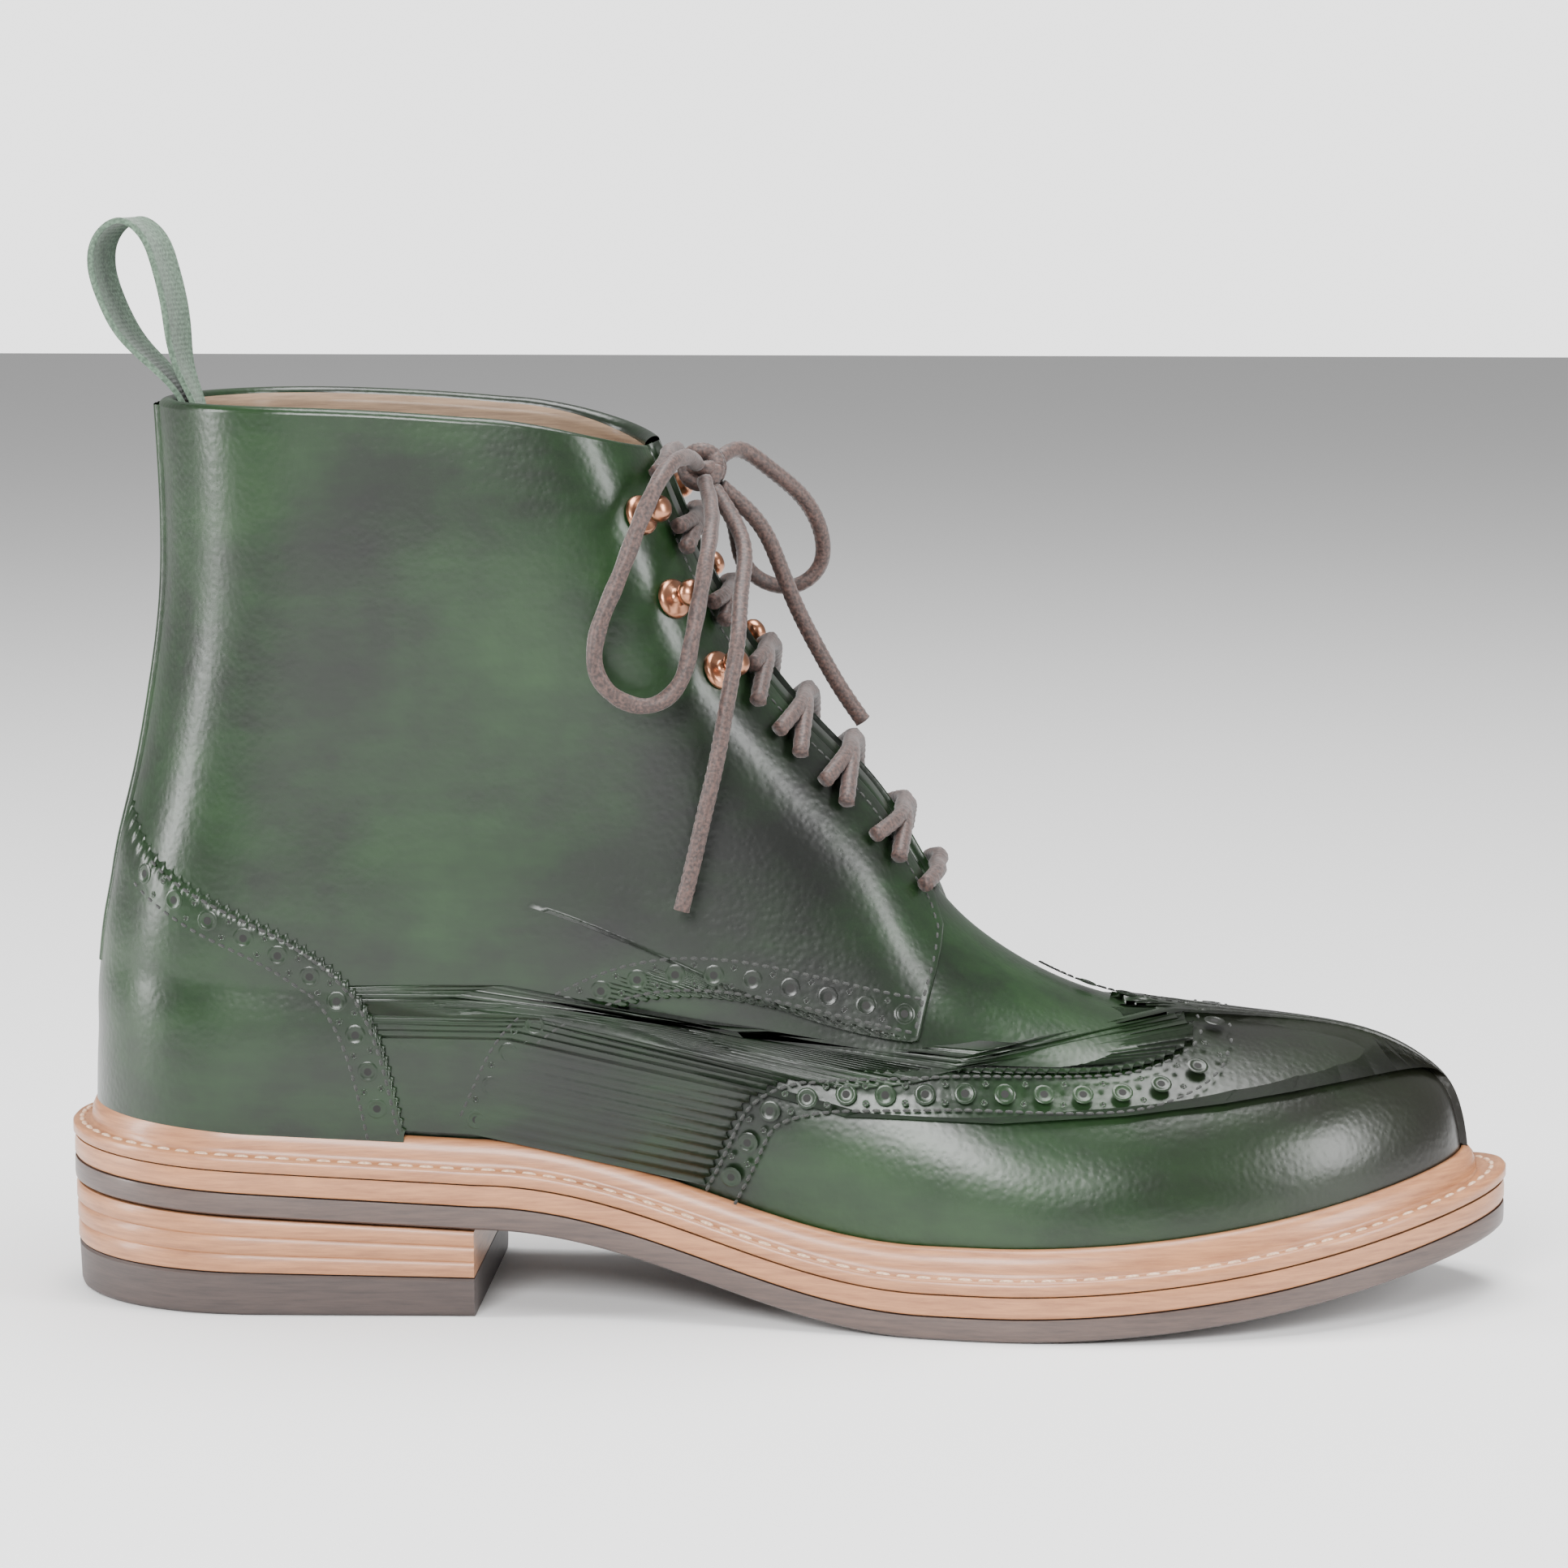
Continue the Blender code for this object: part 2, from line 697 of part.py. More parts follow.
def build_welt():
    """Welt all round: a flat stitched strip with a storm bead at its inner edge."""
    w = ring_columns(0.0)
    count = len(w)
    c = np.abs(w)
    near = (1.0 + np.cos(np.pi * c)) / 2.0
    x = BACK_REACH * near + (SOLE_LENGTH - BACK_REACH) * near ** 4 - SOLE_LENGTH / 2.0
    outer, inner = sole_edge(x, 0.0)
    y = np.where(w < 0.0, outer, inner)
    tip = (c < 1e-9) | (c > 1.0 - 1e-9)
    y = np.where(tip, (outer + inner) / 2.0, y)
    rim = np.stack([x, y, feather(x)], -1)
    foot = surface(w, 0.0, GAP)
    foot[:, 2] = feather(foot[:, 0])
    bead = surface(ring_columns(BEAD_ROW), BEAD_ROW, GAP)
    out = rim[:, :2] - foot[:, :2]
    out /= np.linalg.norm(out, axis=1, keepdims=True)
    rings = [rim, rim + np.array([0.0, 0.0, WELT])]
    for reach, drop in BEAD_SECTION:
        ring = bead.copy()
        ring[:, :2] += out * BEAD_THICK * reach
        ring[:, 2] -= BEAD_RISE * drop
        rings.append(ring)
    rings.append(bead)
    rings.append(foot)
    points = np.concatenate(rings)
    faces = grid_faces(len(rings), count, closed=True)
    last = (len(rings) - 1) * count
    for i in range(count):
        j = (i + 1) % count
        faces.append((last + i, last + j, j, i))
    add_mesh("welt", points, faces, "tan_edge")


def upper_rows():
    """Height shares of the upper's rows: the foot, the bead line, then upward."""
    low = [0.0, BEAD_ROW, 0.122, 0.175, 0.230, 0.295, 0.37, 0.455, 0.545]
    high = np.linspace(THROAT_SHARE, 1.0, HIGH_ROWS)
    return np.concatenate([low, high])


def ring_columns(h):
    """Columns of one ring: back, outer side, front bridge, inner side."""
    edge = column_at(throat_half(h), max(h, THROAT_SHARE))
    side = edge + (1.0 - edge) * half_columns()
    bridge = np.array([-0.5, 0.0, 0.5]) * edge
    return np.concatenate([-side[::-1], bridge, side[:-1]])


def form(name, lift, thickness, offset, cutter=False):
    """Wall that follows the whole upper, with its throat left open.

    The upper and every overlay use the same rows and columns, so that their
    faces stay parallel.
    """
    heights = upper_rows()
    rings = [ring_columns(h) for h in heights]
    count = len(rings[0])
    points = np.concatenate([surface(ring, h, lift) for ring, h in zip(rings, heights)])
    throat_row = len(heights) - HIGH_ROWS
    faces = []
    for r in range(len(heights) - 1):
        for i in range(count):
            if r >= throat_row and SIDE_COLUMNS <= i < SIDE_COLUMNS + 4:
                continue
            j = (i + 1) % count
            faces.append((r * count + i, r * count + j, (r + 1) * count + j))
            faces.append((r * count + i, (r + 1) * count + j, (r + 1) * count + i))
    used = sorted({i for face in faces for i in face})
    place = {old: new for new, old in enumerate(used)}
    faces = [tuple(place[i] for i in face) for face in faces]
    made = add_mesh(name, points[used], faces, "green_leather", cutter=cutter)
    solidify(made, thickness, offset)
    return made


def build_upper():
    """Upper: one hollow wall, open at the collar, the throat and underneath."""
    return form("upper", 0.0, WALL, -1.0)


def build_insole():
    """Insole: fills the foot of the upper inside its wall."""
    w = ring_columns(0.0)
    clear = -(WALL + GAP * 2.0)
    rings = []
    for rise in (0.0, INSOLE * 0.5, INSOLE):
        ring = surface(w, BEAD_ROW * rise / (WELT + BEAD_RISE), clear)
        ring[:, 2] = feather(ring[:, 0]) + rise
        rings.append(ring)
    count = len(w)
    points = np.concatenate(rings)
    faces = grid_faces(len(rings), count, closed=True)
    half = count // 2
    for base, up in ((0, False), ((len(rings) - 1) * count, True)):
        lid = [(base, base + 1, base + count - 1)]
        for i in range(1, half - 1):
            lid.append((base + i, base + i + 1, base + count - i - 1, base + count - i))
        lid.append((base + half - 1, base + half, base + half + 1))
        faces.extend(face if up else face[::-1] for face in lid)
    add_mesh("insole", points, faces, "lining_leather")


def build_tongue():
    """Tongue: lies inside the facings and swells out between them."""
    rows = 15
    heights = np.linspace(TONGUE_FOOT_SHARE, TONGUE_TOP_SHARE, rows)
    spread = np.array([-1.0, -0.75, -0.5, -0.3, -0.12, 0.12, 0.3, 0.5, 0.75, 1.0])
    inside = -(WALL + TONGUE_CLEAR + TONGUE_WALL)
    points = []
    for h in heights:
        edge = column_at(TONGUE_HALF, max(h, 0.45))
        gate = column_at(throat_half(h), max(h, THROAT_SHARE))
        w = spread * edge
        open_up = ease((h - THROAT_SHARE - 0.015) / 0.06) * (1.0 - ease((np.abs(w) / gate - 0.35) / 0.5))
        lift = inside + (WALL + TONGUE_CLEAR) * open_up
        points.append(surface(w, h, lift))
    tongue = add_mesh("tongue", np.concatenate(points), grid_faces(rows, len(spread)),
                      "green_leather")
    solidify(tongue, TONGUE_WALL, 1.0)
    return tongue


def smooth_line(line, count):
    """Side-view places in metres at even steps along a smooth curve through a
    pattern line of along and rise shares."""
    steps = np.linalg.norm(np.diff(line, axis=0), axis=1)
    far = np.concatenate([[0.0], np.cumsum(steps)])
    at = np.linspace(0.0, far[-1], count)
    x = along(spline(far, line[:, 0], at))
    rise = spline(far, line[:, 1], at) * UPPER_HEIGHT
    return np.stack([x, feather(x) + rise], -1)


def moved_out(line, distance):
    """Side-view line moved sideways to its left by a distance."""
    step = np.gradient(line, axis=0)
    step /= np.linalg.norm(step, axis=1, keepdims=True)
    return line + np.stack([-step[:, 1], step[:, 0]], -1) * distance


def bead_line(start, end, count=24):
    """Side-view line just above the storm bead."""
    x = np.linspace(start, end, count)
    return np.stack([x, feather(x) + WELT + BEAD_RISE + GAP * 5.0], -1)


def prism(name, outline, low_y, high_y):
    """Cutter: a side-view outline carried across from one Y to another."""
    count = len(outline)
    points = [(x, low_y, z) for x, z in outline] + [(x, high_y, z) for x, z in outline]
    faces = [tuple(range(count)), tuple(range(2 * count - 1, count - 1, -1))]
    for i in range(count):
        j = (i + 1) % count
        faces.append((j, i, count + i, count + j))
    made = add_mesh(name, points, faces, "", smooth=False, cutter=True)
    shape = bmesh.new()
    shape.from_mesh(made.data)
    bmesh.ops.recalc_face_normals(shape, faces=shape.faces)
    shape.to_mesh(made.data)
    shape.free()
    return made


def keep_inside(made, cutter):
    """Keep only what of a form lies inside a cutter."""
    cut = made.modifiers.new("pattern", "BOOLEAN")
    cut.operation = "INTERSECT"
    cut.object = cutter


def overlay(name, thickness, cutter):
    """Overlay: the part of the outer form that lies inside its pattern."""
    made = form(name, GAP, thickness, 1.0)
    keep_inside(made, cutter)
    return made


def build_cap():
    """Wing cap: over the toe, with a point at the front and long side wings."""
    line = smooth_line(WING_LINE, 26)
    start = line[0]
    foot = bead_line(start[0], SOLE_LENGTH, 30)[::-1]
    over = np.array([(line[-1, 0] - CAP_CLEAR, line[-1, 1] + CAP_CLEAR), (SOLE_LENGTH, BROAD)])
    outline = np.concatenate([line, over, foot[:-1]])
    overlay("wing_cap", CAP_THICK, prism("wing_pattern", outline, -BROAD, BROAD))


def build_counter():
    """Heel counter: wraps the heel under its curved edge."""
    line = smooth_line(COUNTER_LINE, 18)
    over = np.array([(-SOLE_LENGTH, line[-1, 1] + COUNTER_CLEAR)])
    foot = bead_line(-SOLE_LENGTH, line[0, 0], 16)
    outline = np.concatenate([line, over, foot])
    overlay("heel_counter", COUNTER_THICK, prism("counter_pattern", outline, -BROAD, BROAD))


def build_back_strip():
    """Strip that covers the back seam from the counter to the collar."""
    line = smooth_line(COUNTER_LINE, 18)
    low = line[-1, 1] + COUNTER_CLEAR + GAP
    outline = np.array([(-SOLE_LENGTH, low), (along(0.22), low),
                        (along(0.22), BROAD * 2.0), (-SOLE_LENGTH, BROAD * 2.0)])
    overlay("back_strip", STRIP_THICK,
            prism("strip_pattern", outline, -STRIP_HALF, STRIP_HALF))


def build_quarters():
    """Quarters: eyestay, collar and ankle in one layer, one on each side."""
    facing = smooth_line(FACING_LINE, 5)
    under = smooth_line(QUARTER_LINE, 20)
    counter = moved_out(smooth_line(COUNTER_LINE, 18), -GAP * 1.5)
    foot = bead_line(under[-1, 0], counter[0, 0], 6)
    top = np.array([
        (-SOLE_LENGTH, counter[-1, 1] + COUNTER_CLEAR),
        (-SOLE_LENGTH, BROAD * 2.0),
        (along(0.66), BROAD * 2.0),
        (along(0.66), facing[0, 1]),
    ])
    outline = np.concatenate([facing, under, foot[1:-1], counter, top])
    near = STRIP_HALF + GAP
    lateral = overlay("quarter_lateral", QUARTER_THICK,
                      prism("quarter_pattern_lateral", outline, -BROAD, -near))
    medial = overlay("quarter_medial", QUARTER_THICK,
                     prism("quarter_pattern_medial", outline, near, BROAD))
    return lateral, medial


def side_place(row):
    """Side-view place in metres of a row of along and rise shares."""
    x = float(along(row[0]))
    return x, float(feather(x)) + row[1] * UPPER_HEIGHT


def turned_to(axis):
    """Rotation that takes +Z to an axis."""
    return Vector((0.0, 0.0, 1.0)).rotation_difference(Vector(axis)).to_matrix().to_4x4()


def punch_holes(pieces):
    """Eyelet holes: punched straight through the quarter and the upper."""
    shape = bmesh.new()
    depth = (WALL + QUARTER_THICK) * 6.0
    for row in PUNCHES:
        x, z = side_place(row)
        for side in (-1.0, 1.0):
            spot, out = side_spot(x, z, side)
            place = Matrix.Translation(Vector(spot)) @ turned_to(out)
            bmesh.ops.create_cone(shape, cap_ends=True, segments=8, radius1=PUNCH / 2.0,
                                  radius2=PUNCH / 2.0, depth=depth, matrix=place)
    mesh = bpy.data.meshes.new("punches")
    shape.to_mesh(mesh)
    shape.free()
    punches = bpy.data.objects.new("punches", mesh)
    punches.hide_render = True
    punches.display_type = "WIRE"
    bpy.data.collections[CUTTERS].objects.link(punches)
    for piece in pieces:
        cut = piece.modifiers.new("eyelets", "BOOLEAN")
        cut.operation = "DIFFERENCE"
        cut.object = punches


def build_hooks():
    """Speed hooks: a round flange, a stem and a domed ball, turned as one."""
    rings = [(0.0, 1.0), *HOOK_SECTION[::-1], (0.0, 0.0)]
    points = [(radius * HOOK_BASE / 2.0, 0.0, height * HOOK_HEIGHT) for radius, height in rings]
    edges = [(i, i + 1) for i in range(len(points) - 1)]
    seat = GAP * 2.0 + QUARTER_THICK
    for number, row in enumerate(HOOKS):
        x, z = side_place(row)
        for name, side in (("lateral", -1.0), ("medial", 1.0)):
            spot, out = side_spot(x, z, side, seat)
            mesh = bpy.data.meshes.new(f"hook_{name}_{number + 1}")
            mesh.from_pydata(points, edges, [])
            mesh.materials.append(material("hook_metal"))
            made = bpy.data.objects.new(mesh.name, mesh)
            made.location = Vector(spot)
            made.rotation_mode = "QUATERNION"
            made.rotation_quaternion = turned_to(out).to_quaternion()
            bpy.data.collections[COLLECTION].objects.link(made)
            turn = made.modifiers.new("turn", "SCREW")
            turn.steps = HOOK_STEPS
            turn.render_steps = HOOK_STEPS
            turn.use_merge_vertices = True
            turn.merge_threshold = 0.00001


def ridge_foot(x, z, lean):
    """Place on the front line nearest a side-view place, moved up by a lean."""
    nearest = np.argmin((FRONT_X - x) ** 2 + (FRONT_Z - z) ** 2)
    height = FRONT_Z[nearest] + lean
    up = int(np.argmin(np.abs(FRONT_Z - height)))
    step = np.array([FRONT_X[up + 1] - FRONT_X[up - 1], 0.0, FRONT_Z[up + 1] - FRONT_Z[up - 1]])
    return FRONT_X[up], FRONT_Z[up], step / np.linalg.norm(step)


def strand(start, end, lean, start_reach, end_reach):
    """Lace strand over the throat from a place on the outer side to one on
    the inner side. It runs square to the front line at the middle."""
    x, z, up = ridge_foot((start[0] + end[0]) / 2.0, (start[1] + end[1]) / 2.0, lean)
    t = np.linspace(-start_reach, end_reach, 7)
    far = t * t
    aim_x = np.where(t < 0.0, start[0], end[0])
    aim_z = np.where(t < 0.0, start[1], end[1])
    place_x = x + (aim_x - x) * far
    place_z = z + (aim_z - z) * far
    wide = half_width(place_x, place_z, TOE_TIP)
    wide = np.where(np.abs(t) < 1e-6, 0.0, wide)
    path = np.stack([place_x, np.sign(t) * wide, place_z], -1)
    across = np.gradient(path, axis=0)
    out = np.cross(across, up)
    out /= np.linalg.norm(out, axis=1, keepdims=True)
    edge = ease(np.abs(t) / 0.5)
    lift = LACE / 2.0 + STRAND_CLEAR + edge * (QUARTER_THICK + GAP)
    return path + out * lift[:, None]


def tube(name, path, finish):
    """Round cord along a path, made a mesh so that it can be joined."""
    curve = bpy.data.curves.new(name + "_line", "CURVE")
    curve.dimensions = "3D"
    curve.bevel_depth = LACE / 2.0
    curve.bevel_resolution = 1
    curve.use_fill_caps = True
    line = curve.splines.new("POLY")
    line.points.add(len(path) - 1)
    for point, place in zip(line.points, path):
        point.co = (*place, 1.0)
    guide = bpy.data.objects.new(name + "_line", curve)
    bpy.data.collections[COLLECTION].objects.link(guide)
    solid = guide.evaluated_get(bpy.context.evaluated_depsgraph_get())
    mesh = bpy.data.meshes.new_from_object(solid)
    mesh.name = name
    shape = bmesh.new()
    shape.from_mesh(mesh)
    bmesh.ops.remove_doubles(shape, verts=shape.verts, dist=0.00001)
    shape.to_mesh(mesh)
    shape.free()
    mesh.materials.clear()
    mesh.materials.append(material(finish))
    made = bpy.data.objects.new(name, mesh)
    made.matrix_world = guide.matrix_world
    bpy.data.objects.remove(guide)
    bpy.data.collections[COLLECTION].objects.link(made)
    return made


def build_laces():
    """Lace over the throat: a bar at its foot, then a crossing for each pair."""
    places = [np.array(side_place(row)) for row in np.concatenate([PUNCHES, HOOKS])]
    first = places[0] - (places[1] - places[0]) * STRAND_SPREAD_SHARE
    tube("lace_bar", strand(first, first, 0.0, 0.95, 0.95), "lace_cord")
    for i in range(len(places) - 1):
        low, high = places[i], places[i + 1]
        rise = (high - low) * STRAND_SPREAD_SHARE
        reach_low = 0.95 if i < len(PUNCHES) else HOOK_REACH_SHARE
        reach_high = 0.95 if i + 1 < len(PUNCHES) else HOOK_REACH_SHARE
        over = strand(low + rise, high - rise, LACE_LEAN, reach_low, reach_high)
        under = strand(high - rise, low + rise, LACE_LEAN, reach_high, reach_low)
        name = f"lace_cross_{i + 1}"
        crossing = tube(name, over, "lace_cord")
        other = tube(name + "_other", under, "lace_cord")
        other.hide_render = True
        other.display_type = "WIRE"
        bpy.data.collections[COLLECTION].objects.unlink(other)
        bpy.data.collections[CUTTERS].objects.link(other)
        join = crossing.modifiers.new("join", "BOOLEAN")
        join.operation = "UNION"
        join.object = other
    last = places[-1] + (places[-1] - places[-2]) * STRAND_SPREAD_SHARE
    tube("lace_tie", strand(last, last, TIE_LEAN, HOOK_REACH_SHARE, HOOK_REACH_SHARE), "lace_cord")


def bow_origin():
    """Middle of the top pair of hooks, from which the bow is placed."""
    x, z = side_place(HOOKS[-1])
    return np.array([x, 0.0, z])


def at_knot(toward):
    """Place just off the knot, in the direction of a point."""
    centre = bow_origin() + np.array(KNOT_PLACE)
    aim = np.array(toward) - centre
    aim /= np.linalg.norm(aim)
    reach = 1.0 / math.sqrt(np.sum((aim / (np.array(KNOT_SIZE) / 2.0)) ** 2))
    return centre + aim * (reach + GAP)


def build_bow():
    """Bow: a knot, two loops and two ends, which hang free."""
    shape = bmesh.new()
    bmesh.ops.create_uvsphere(shape, u_segments=9, v_segments=6, radius=0.5)
    bmesh.ops.scale(shape, verts=shape.verts, vec=KNOT_SIZE)
    mesh = bpy.data.meshes.new("lace_knot")
    shape.to_mesh(mesh)
    shape.free()
    mesh.materials.append(material("lace_cord"))
    mesh.shade_smooth()
    knot = bpy.data.objects.new("lace_knot", mesh)
    knot.location = Vector(bow_origin() + np.array(KNOT_PLACE))
    knot.rotation_euler = (0.0, KNOT_TILT_ANGLE, 0.0)
    bpy.data.collections[COLLECTION].objects.link(knot)
    for name, route in BOW.items():
        line = list(bow_origin() + np.array(route))
        start = at_knot(line[0])
        if "loop" in name:
            line.append(at_knot(line[-1]))
        line = np.array([start, *line])
        steps = np.linalg.norm(np.diff(line, axis=0), axis=1)
        far = np.concatenate([[0.0], np.cumsum(steps)])
        count = max(8, int(far[-1] / (LACE * BOW_STEP_SHARE)))
        at = np.linspace(0.0, far[-1], count)
        path = np.stack([spline(far, line[:, k], at) for k in range(3)], -1)
        tube(name, path, "lace_cord")


def build_pull_loop():
    """Pull loop: webbing folded into a loop inside the back of the collar."""
    collar = np.array([BACK_X[-1], BACK_Z[-1]])
    line = collar + np.array(LOOP_ROUTE)
    steps = np.linalg.norm(np.diff(line, axis=0), axis=1)
    far = np.concatenate([[0.0], np.cumsum(steps)])
    at = np.linspace(0.0, far[-1], 22)
    path = np.stack([spline(far, line[:, k], at) for k in range(2)], -1)
    step = np.gradient(path, axis=0)
    step /= np.linalg.norm(step, axis=1, keepdims=True)
    out = np.stack([-step[:, 1], step[:, 0]], -1) * TAPE_THICK / 2.0
    points = []
    for (x, z), (ox, oz) in zip(path, out):
        risen = z - BACK_Z[-1] - TAPE_TURN_LOW
        turn = TAPE_TURN_ANGLE * ease(risen / (TAPE_TURN_HIGH - TAPE_TURN_LOW))
        half = TAPE_WIDTH / 2.0
        over = half * math.sin(turn)
        reach = half * math.cos(turn)
        points.extend([(x + ox - over, -reach, z + oz), (x + ox + over, reach, z + oz),
                       (x - ox + over, reach, z - oz), (x - ox - over, -reach, z - oz)])
    faces = grid_faces(len(path), 4, closed=True)
    faces.append((3, 2, 1, 0))
    last = (len(path) - 1) * 4
    faces.append((last, last + 1, last + 2, last + 3))
    made = add_mesh("pull_loop", points, faces, "loop_tape")
    shape = bmesh.new()
    shape.from_mesh(made.data)
    bmesh.ops.recalc_face_normals(shape, faces=shape.faces)
    shape.to_mesh(made.data)
    shape.free()


def build():
    tidy_scene()
    build_sole()
    build_welt()
    upper = build_upper()
    build_insole()
    build_tongue()
    build_cap()
    build_counter()
    build_back_strip()
    quarters = build_quarters()
    punch_holes([upper, *quarters])
    build_hooks()
    build_laces()
    build_bow()
    build_pull_loop()


build()
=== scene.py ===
"""Looks of the lace-up ankle boot: leather, stitches, punched holes, laces,
light and camera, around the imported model. Lengths are in metres; +X points
to the toe, +Y to the wearer's left and +Z up."""
import math

import bmesh
import bpy
import numpy as np
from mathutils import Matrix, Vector


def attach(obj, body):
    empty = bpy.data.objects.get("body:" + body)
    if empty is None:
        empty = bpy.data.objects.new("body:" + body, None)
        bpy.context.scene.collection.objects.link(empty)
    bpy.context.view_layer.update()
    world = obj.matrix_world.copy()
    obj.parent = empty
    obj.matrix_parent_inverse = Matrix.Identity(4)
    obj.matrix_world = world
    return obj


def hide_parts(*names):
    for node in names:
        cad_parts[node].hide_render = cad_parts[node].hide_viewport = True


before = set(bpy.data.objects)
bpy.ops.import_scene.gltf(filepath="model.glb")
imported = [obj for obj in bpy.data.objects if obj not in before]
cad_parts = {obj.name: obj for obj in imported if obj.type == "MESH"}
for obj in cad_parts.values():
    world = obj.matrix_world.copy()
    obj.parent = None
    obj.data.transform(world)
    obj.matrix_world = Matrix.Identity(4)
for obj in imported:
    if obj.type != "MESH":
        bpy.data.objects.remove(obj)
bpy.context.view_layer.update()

# Sole
SOLE_LENGTH = 0.315
SOLE_WIDTH = 0.110
HEEL_HEIGHT = 0.0239
HEEL_FRONT_SHARE = 0.80
TOE_SPRING = 0.0150
TOE_SPRING_POWER = 1.85
OUTSOLE = 0.0053
MIDSOLE = 0.0031
WELT = 0.0031
SOLE_EDGE_ROUND = 0.0008
SOLE_HEEL_ROUND = 0.043
SOLE_TOE_ROUND = 0.0945
BREAST_SHARE = 0.293
BALL_BACK_SHARE = 0.600
BALL_FRONT_SHARE = 0.645
GAP = 0.0003

# Storm bead of the welt, which stands against the foot of the upper, and
# rises by a share of its height
BEAD_THICK = 0.0034

# Heel
TOP_LIFT = 0.0100
TOP_LIFT_FRONT_SHARE = 0.84
HEEL_TAPER = 0.0014
NOTCH_FROM_BACK = 0.0355
NOTCH_LENGTH = 0.0074
NOTCH_HEIGHT = 0.0023
NOTCH_DEPTH = 0.0050

# Upper
UPPER_HEIGHT = 0.165
BEAD_RISE = UPPER_HEIGHT * 0.0364
WALL = 0.0020
SIDE_MARGIN = 0.0080
SHAFT_WIDTH = 0.078
HEEL_ROUND = 0.036
TOE_ROUND = 0.086
BACK_REACH = 0.100
SIDE_SWELL = 0.0028
RIM_RISE = 0.0020
INSOLE = 0.0040

# Throat, tongue and overlays
THROAT_SHARE = 0.635
THROAT_HALF_LOW = 0.0105
THROAT_HALF_HIGH = 0.0150
TONGUE_HALF = 0.0245
TONGUE_WALL = 0.0022
TONGUE_CLEAR = 0.0011
TONGUE_FOOT_SHARE = 0.54
TONGUE_TOP_SHARE = 0.985
CAP_THICK = 0.0013
QUARTER_THICK = 0.0013
COUNTER_THICK = 0.0021
STRIP_THICK = 0.0020
STRIP_HALF = 0.0105
CAP_CLEAR = 0.0110
COUNTER_CLEAR = 0.0040

# Fastenings
LACE = 0.0035
PUNCH = 0.0036
HOOK_BASE = 0.0086
HOOK_HEIGHT = 0.0078
HOOK_STEPS = 8
TAPE_WIDTH = 0.0120
TAPE_THICK = 0.0014
TAPE_TURN_ANGLE = 0.26
TAPE_TURN_LOW = -0.0038
TAPE_TURN_HIGH = 0.0182
STRAND_CLEAR = 0.0010
STRAND_SPREAD_SHARE = 0.25
HOOK_REACH_SHARE = 0.72
LACE_LEAN = 0.0030
TIE_LEAN = 0.0040
BOW_STEP_SHARE = 2.1
KNOT_SIZE = (0.0110, 0.0135, 0.0120)
KNOT_PLACE = (0.0120, 0.0, 0.0086)
KNOT_TILT_ANGLE = -0.45

# How finely the surfaces are cut
SIDE_COLUMNS = 16
COLUMN_CROWD = 1.12
HIGH_ROWS = 6
SOLE_COLUMNS = 30
STATION_CLEAR = 0.0030

# Well past the widest part, for cutters
BROAD = 0.150

# Sole in plan, with columns: along (share of the length from the heel back),
# outer and inner half width (shares of half the sole width)
SOLE_PLAN = np.array([
    (0.00, 0.69, 0.69),
    (0.12, 0.71, 0.71),
    (0.25, 0.69, 0.66),
    (0.38, 0.70, 0.59),
    (0.48, 0.79, 0.64),
    (0.58, 0.925, 0.79),
    (0.66, 1.00, 0.93),
    (0.75, 0.985, 1.00),
    (0.86, 0.88, 0.98),
    (0.95, 0.73, 0.90),
    (1.00, 0.64, 0.84),
])

# Side profile of the upper, a row for each section from the welt to the
# collar, with columns: front along, front rise, back along, back rise
# (along as shares of the sole length, rise as shares of the upper height)
PROFILE = np.array([
    (0.968, 0.000, 0.024, 0.000),
    (0.968, 0.055, 0.025, 0.055),
    (0.960, 0.125, 0.026, 0.110),
    (0.941, 0.175, 0.027, 0.147),
    (0.905, 0.225, 0.027, 0.180),
    (0.849, 0.265, 0.028, 0.214),
    (0.779, 0.298, 0.030, 0.250),
    (0.708, 0.337, 0.033, 0.293),
    (0.643, 0.405, 0.038, 0.342),
    (0.600, 0.486, 0.044, 0.403),
    (0.565, 0.593, 0.056, 0.495),
    (0.525, 0.665, 0.067, 0.605),
    (0.486, 0.730, 0.075, 0.715),
    (0.447, 0.826, 0.077, 0.837),
    (0.409, 0.973, 0.074, 0.976),
])

# Half width of the shaft, with columns: rise (share of the upper height),
# half width (share of half the shaft width)
SHAFT = np.array([
    (0.00, 0.90),
    (0.15, 0.92),
    (0.30, 0.90),
    (0.45, 0.88),
    (0.65, 0.93),
    (0.85, 0.985),
    (1.00, 1.00),
])

# Pattern lines in the side view, with columns: along (share of the sole
# length), rise (share of the upper height)
WING_LINE = np.array([
    (0.450, 0.066),
    (0.465, 0.134),
    (0.485, 0.205),
    (0.529, 0.253),
    (0.605, 0.272),
    (0.659, 0.268),
    (0.714, 0.260),
    (0.763, 0.266),
    (0.781, 0.282),
    (0.765, 0.302),
    (0.731, 0.323),
])
QUARTER_LINE = np.array([
    (0.594, 0.309),
    (0.566, 0.319),
    (0.523, 0.326),
    (0.468, 0.319),
    (0.413, 0.285),
    (0.369, 0.232),
    (0.336, 0.178),
    (0.317, 0.112),
    (0.306, 0.066),
])
COUNTER_LINE = np.array([
    (0.245, 0.066),
    (0.239, 0.125),
    (0.226, 0.203),
    (0.201, 0.269),
    (0.160, 0.318),
    (0.116, 0.354),
    (0.076, 0.400),
    (0.056, 0.450),
])
FACING_LINE = np.array([
    (0.607, 0.440),
    (0.606, 0.412),
    (0.601, 0.367),
    (0.596, 0.324),
])

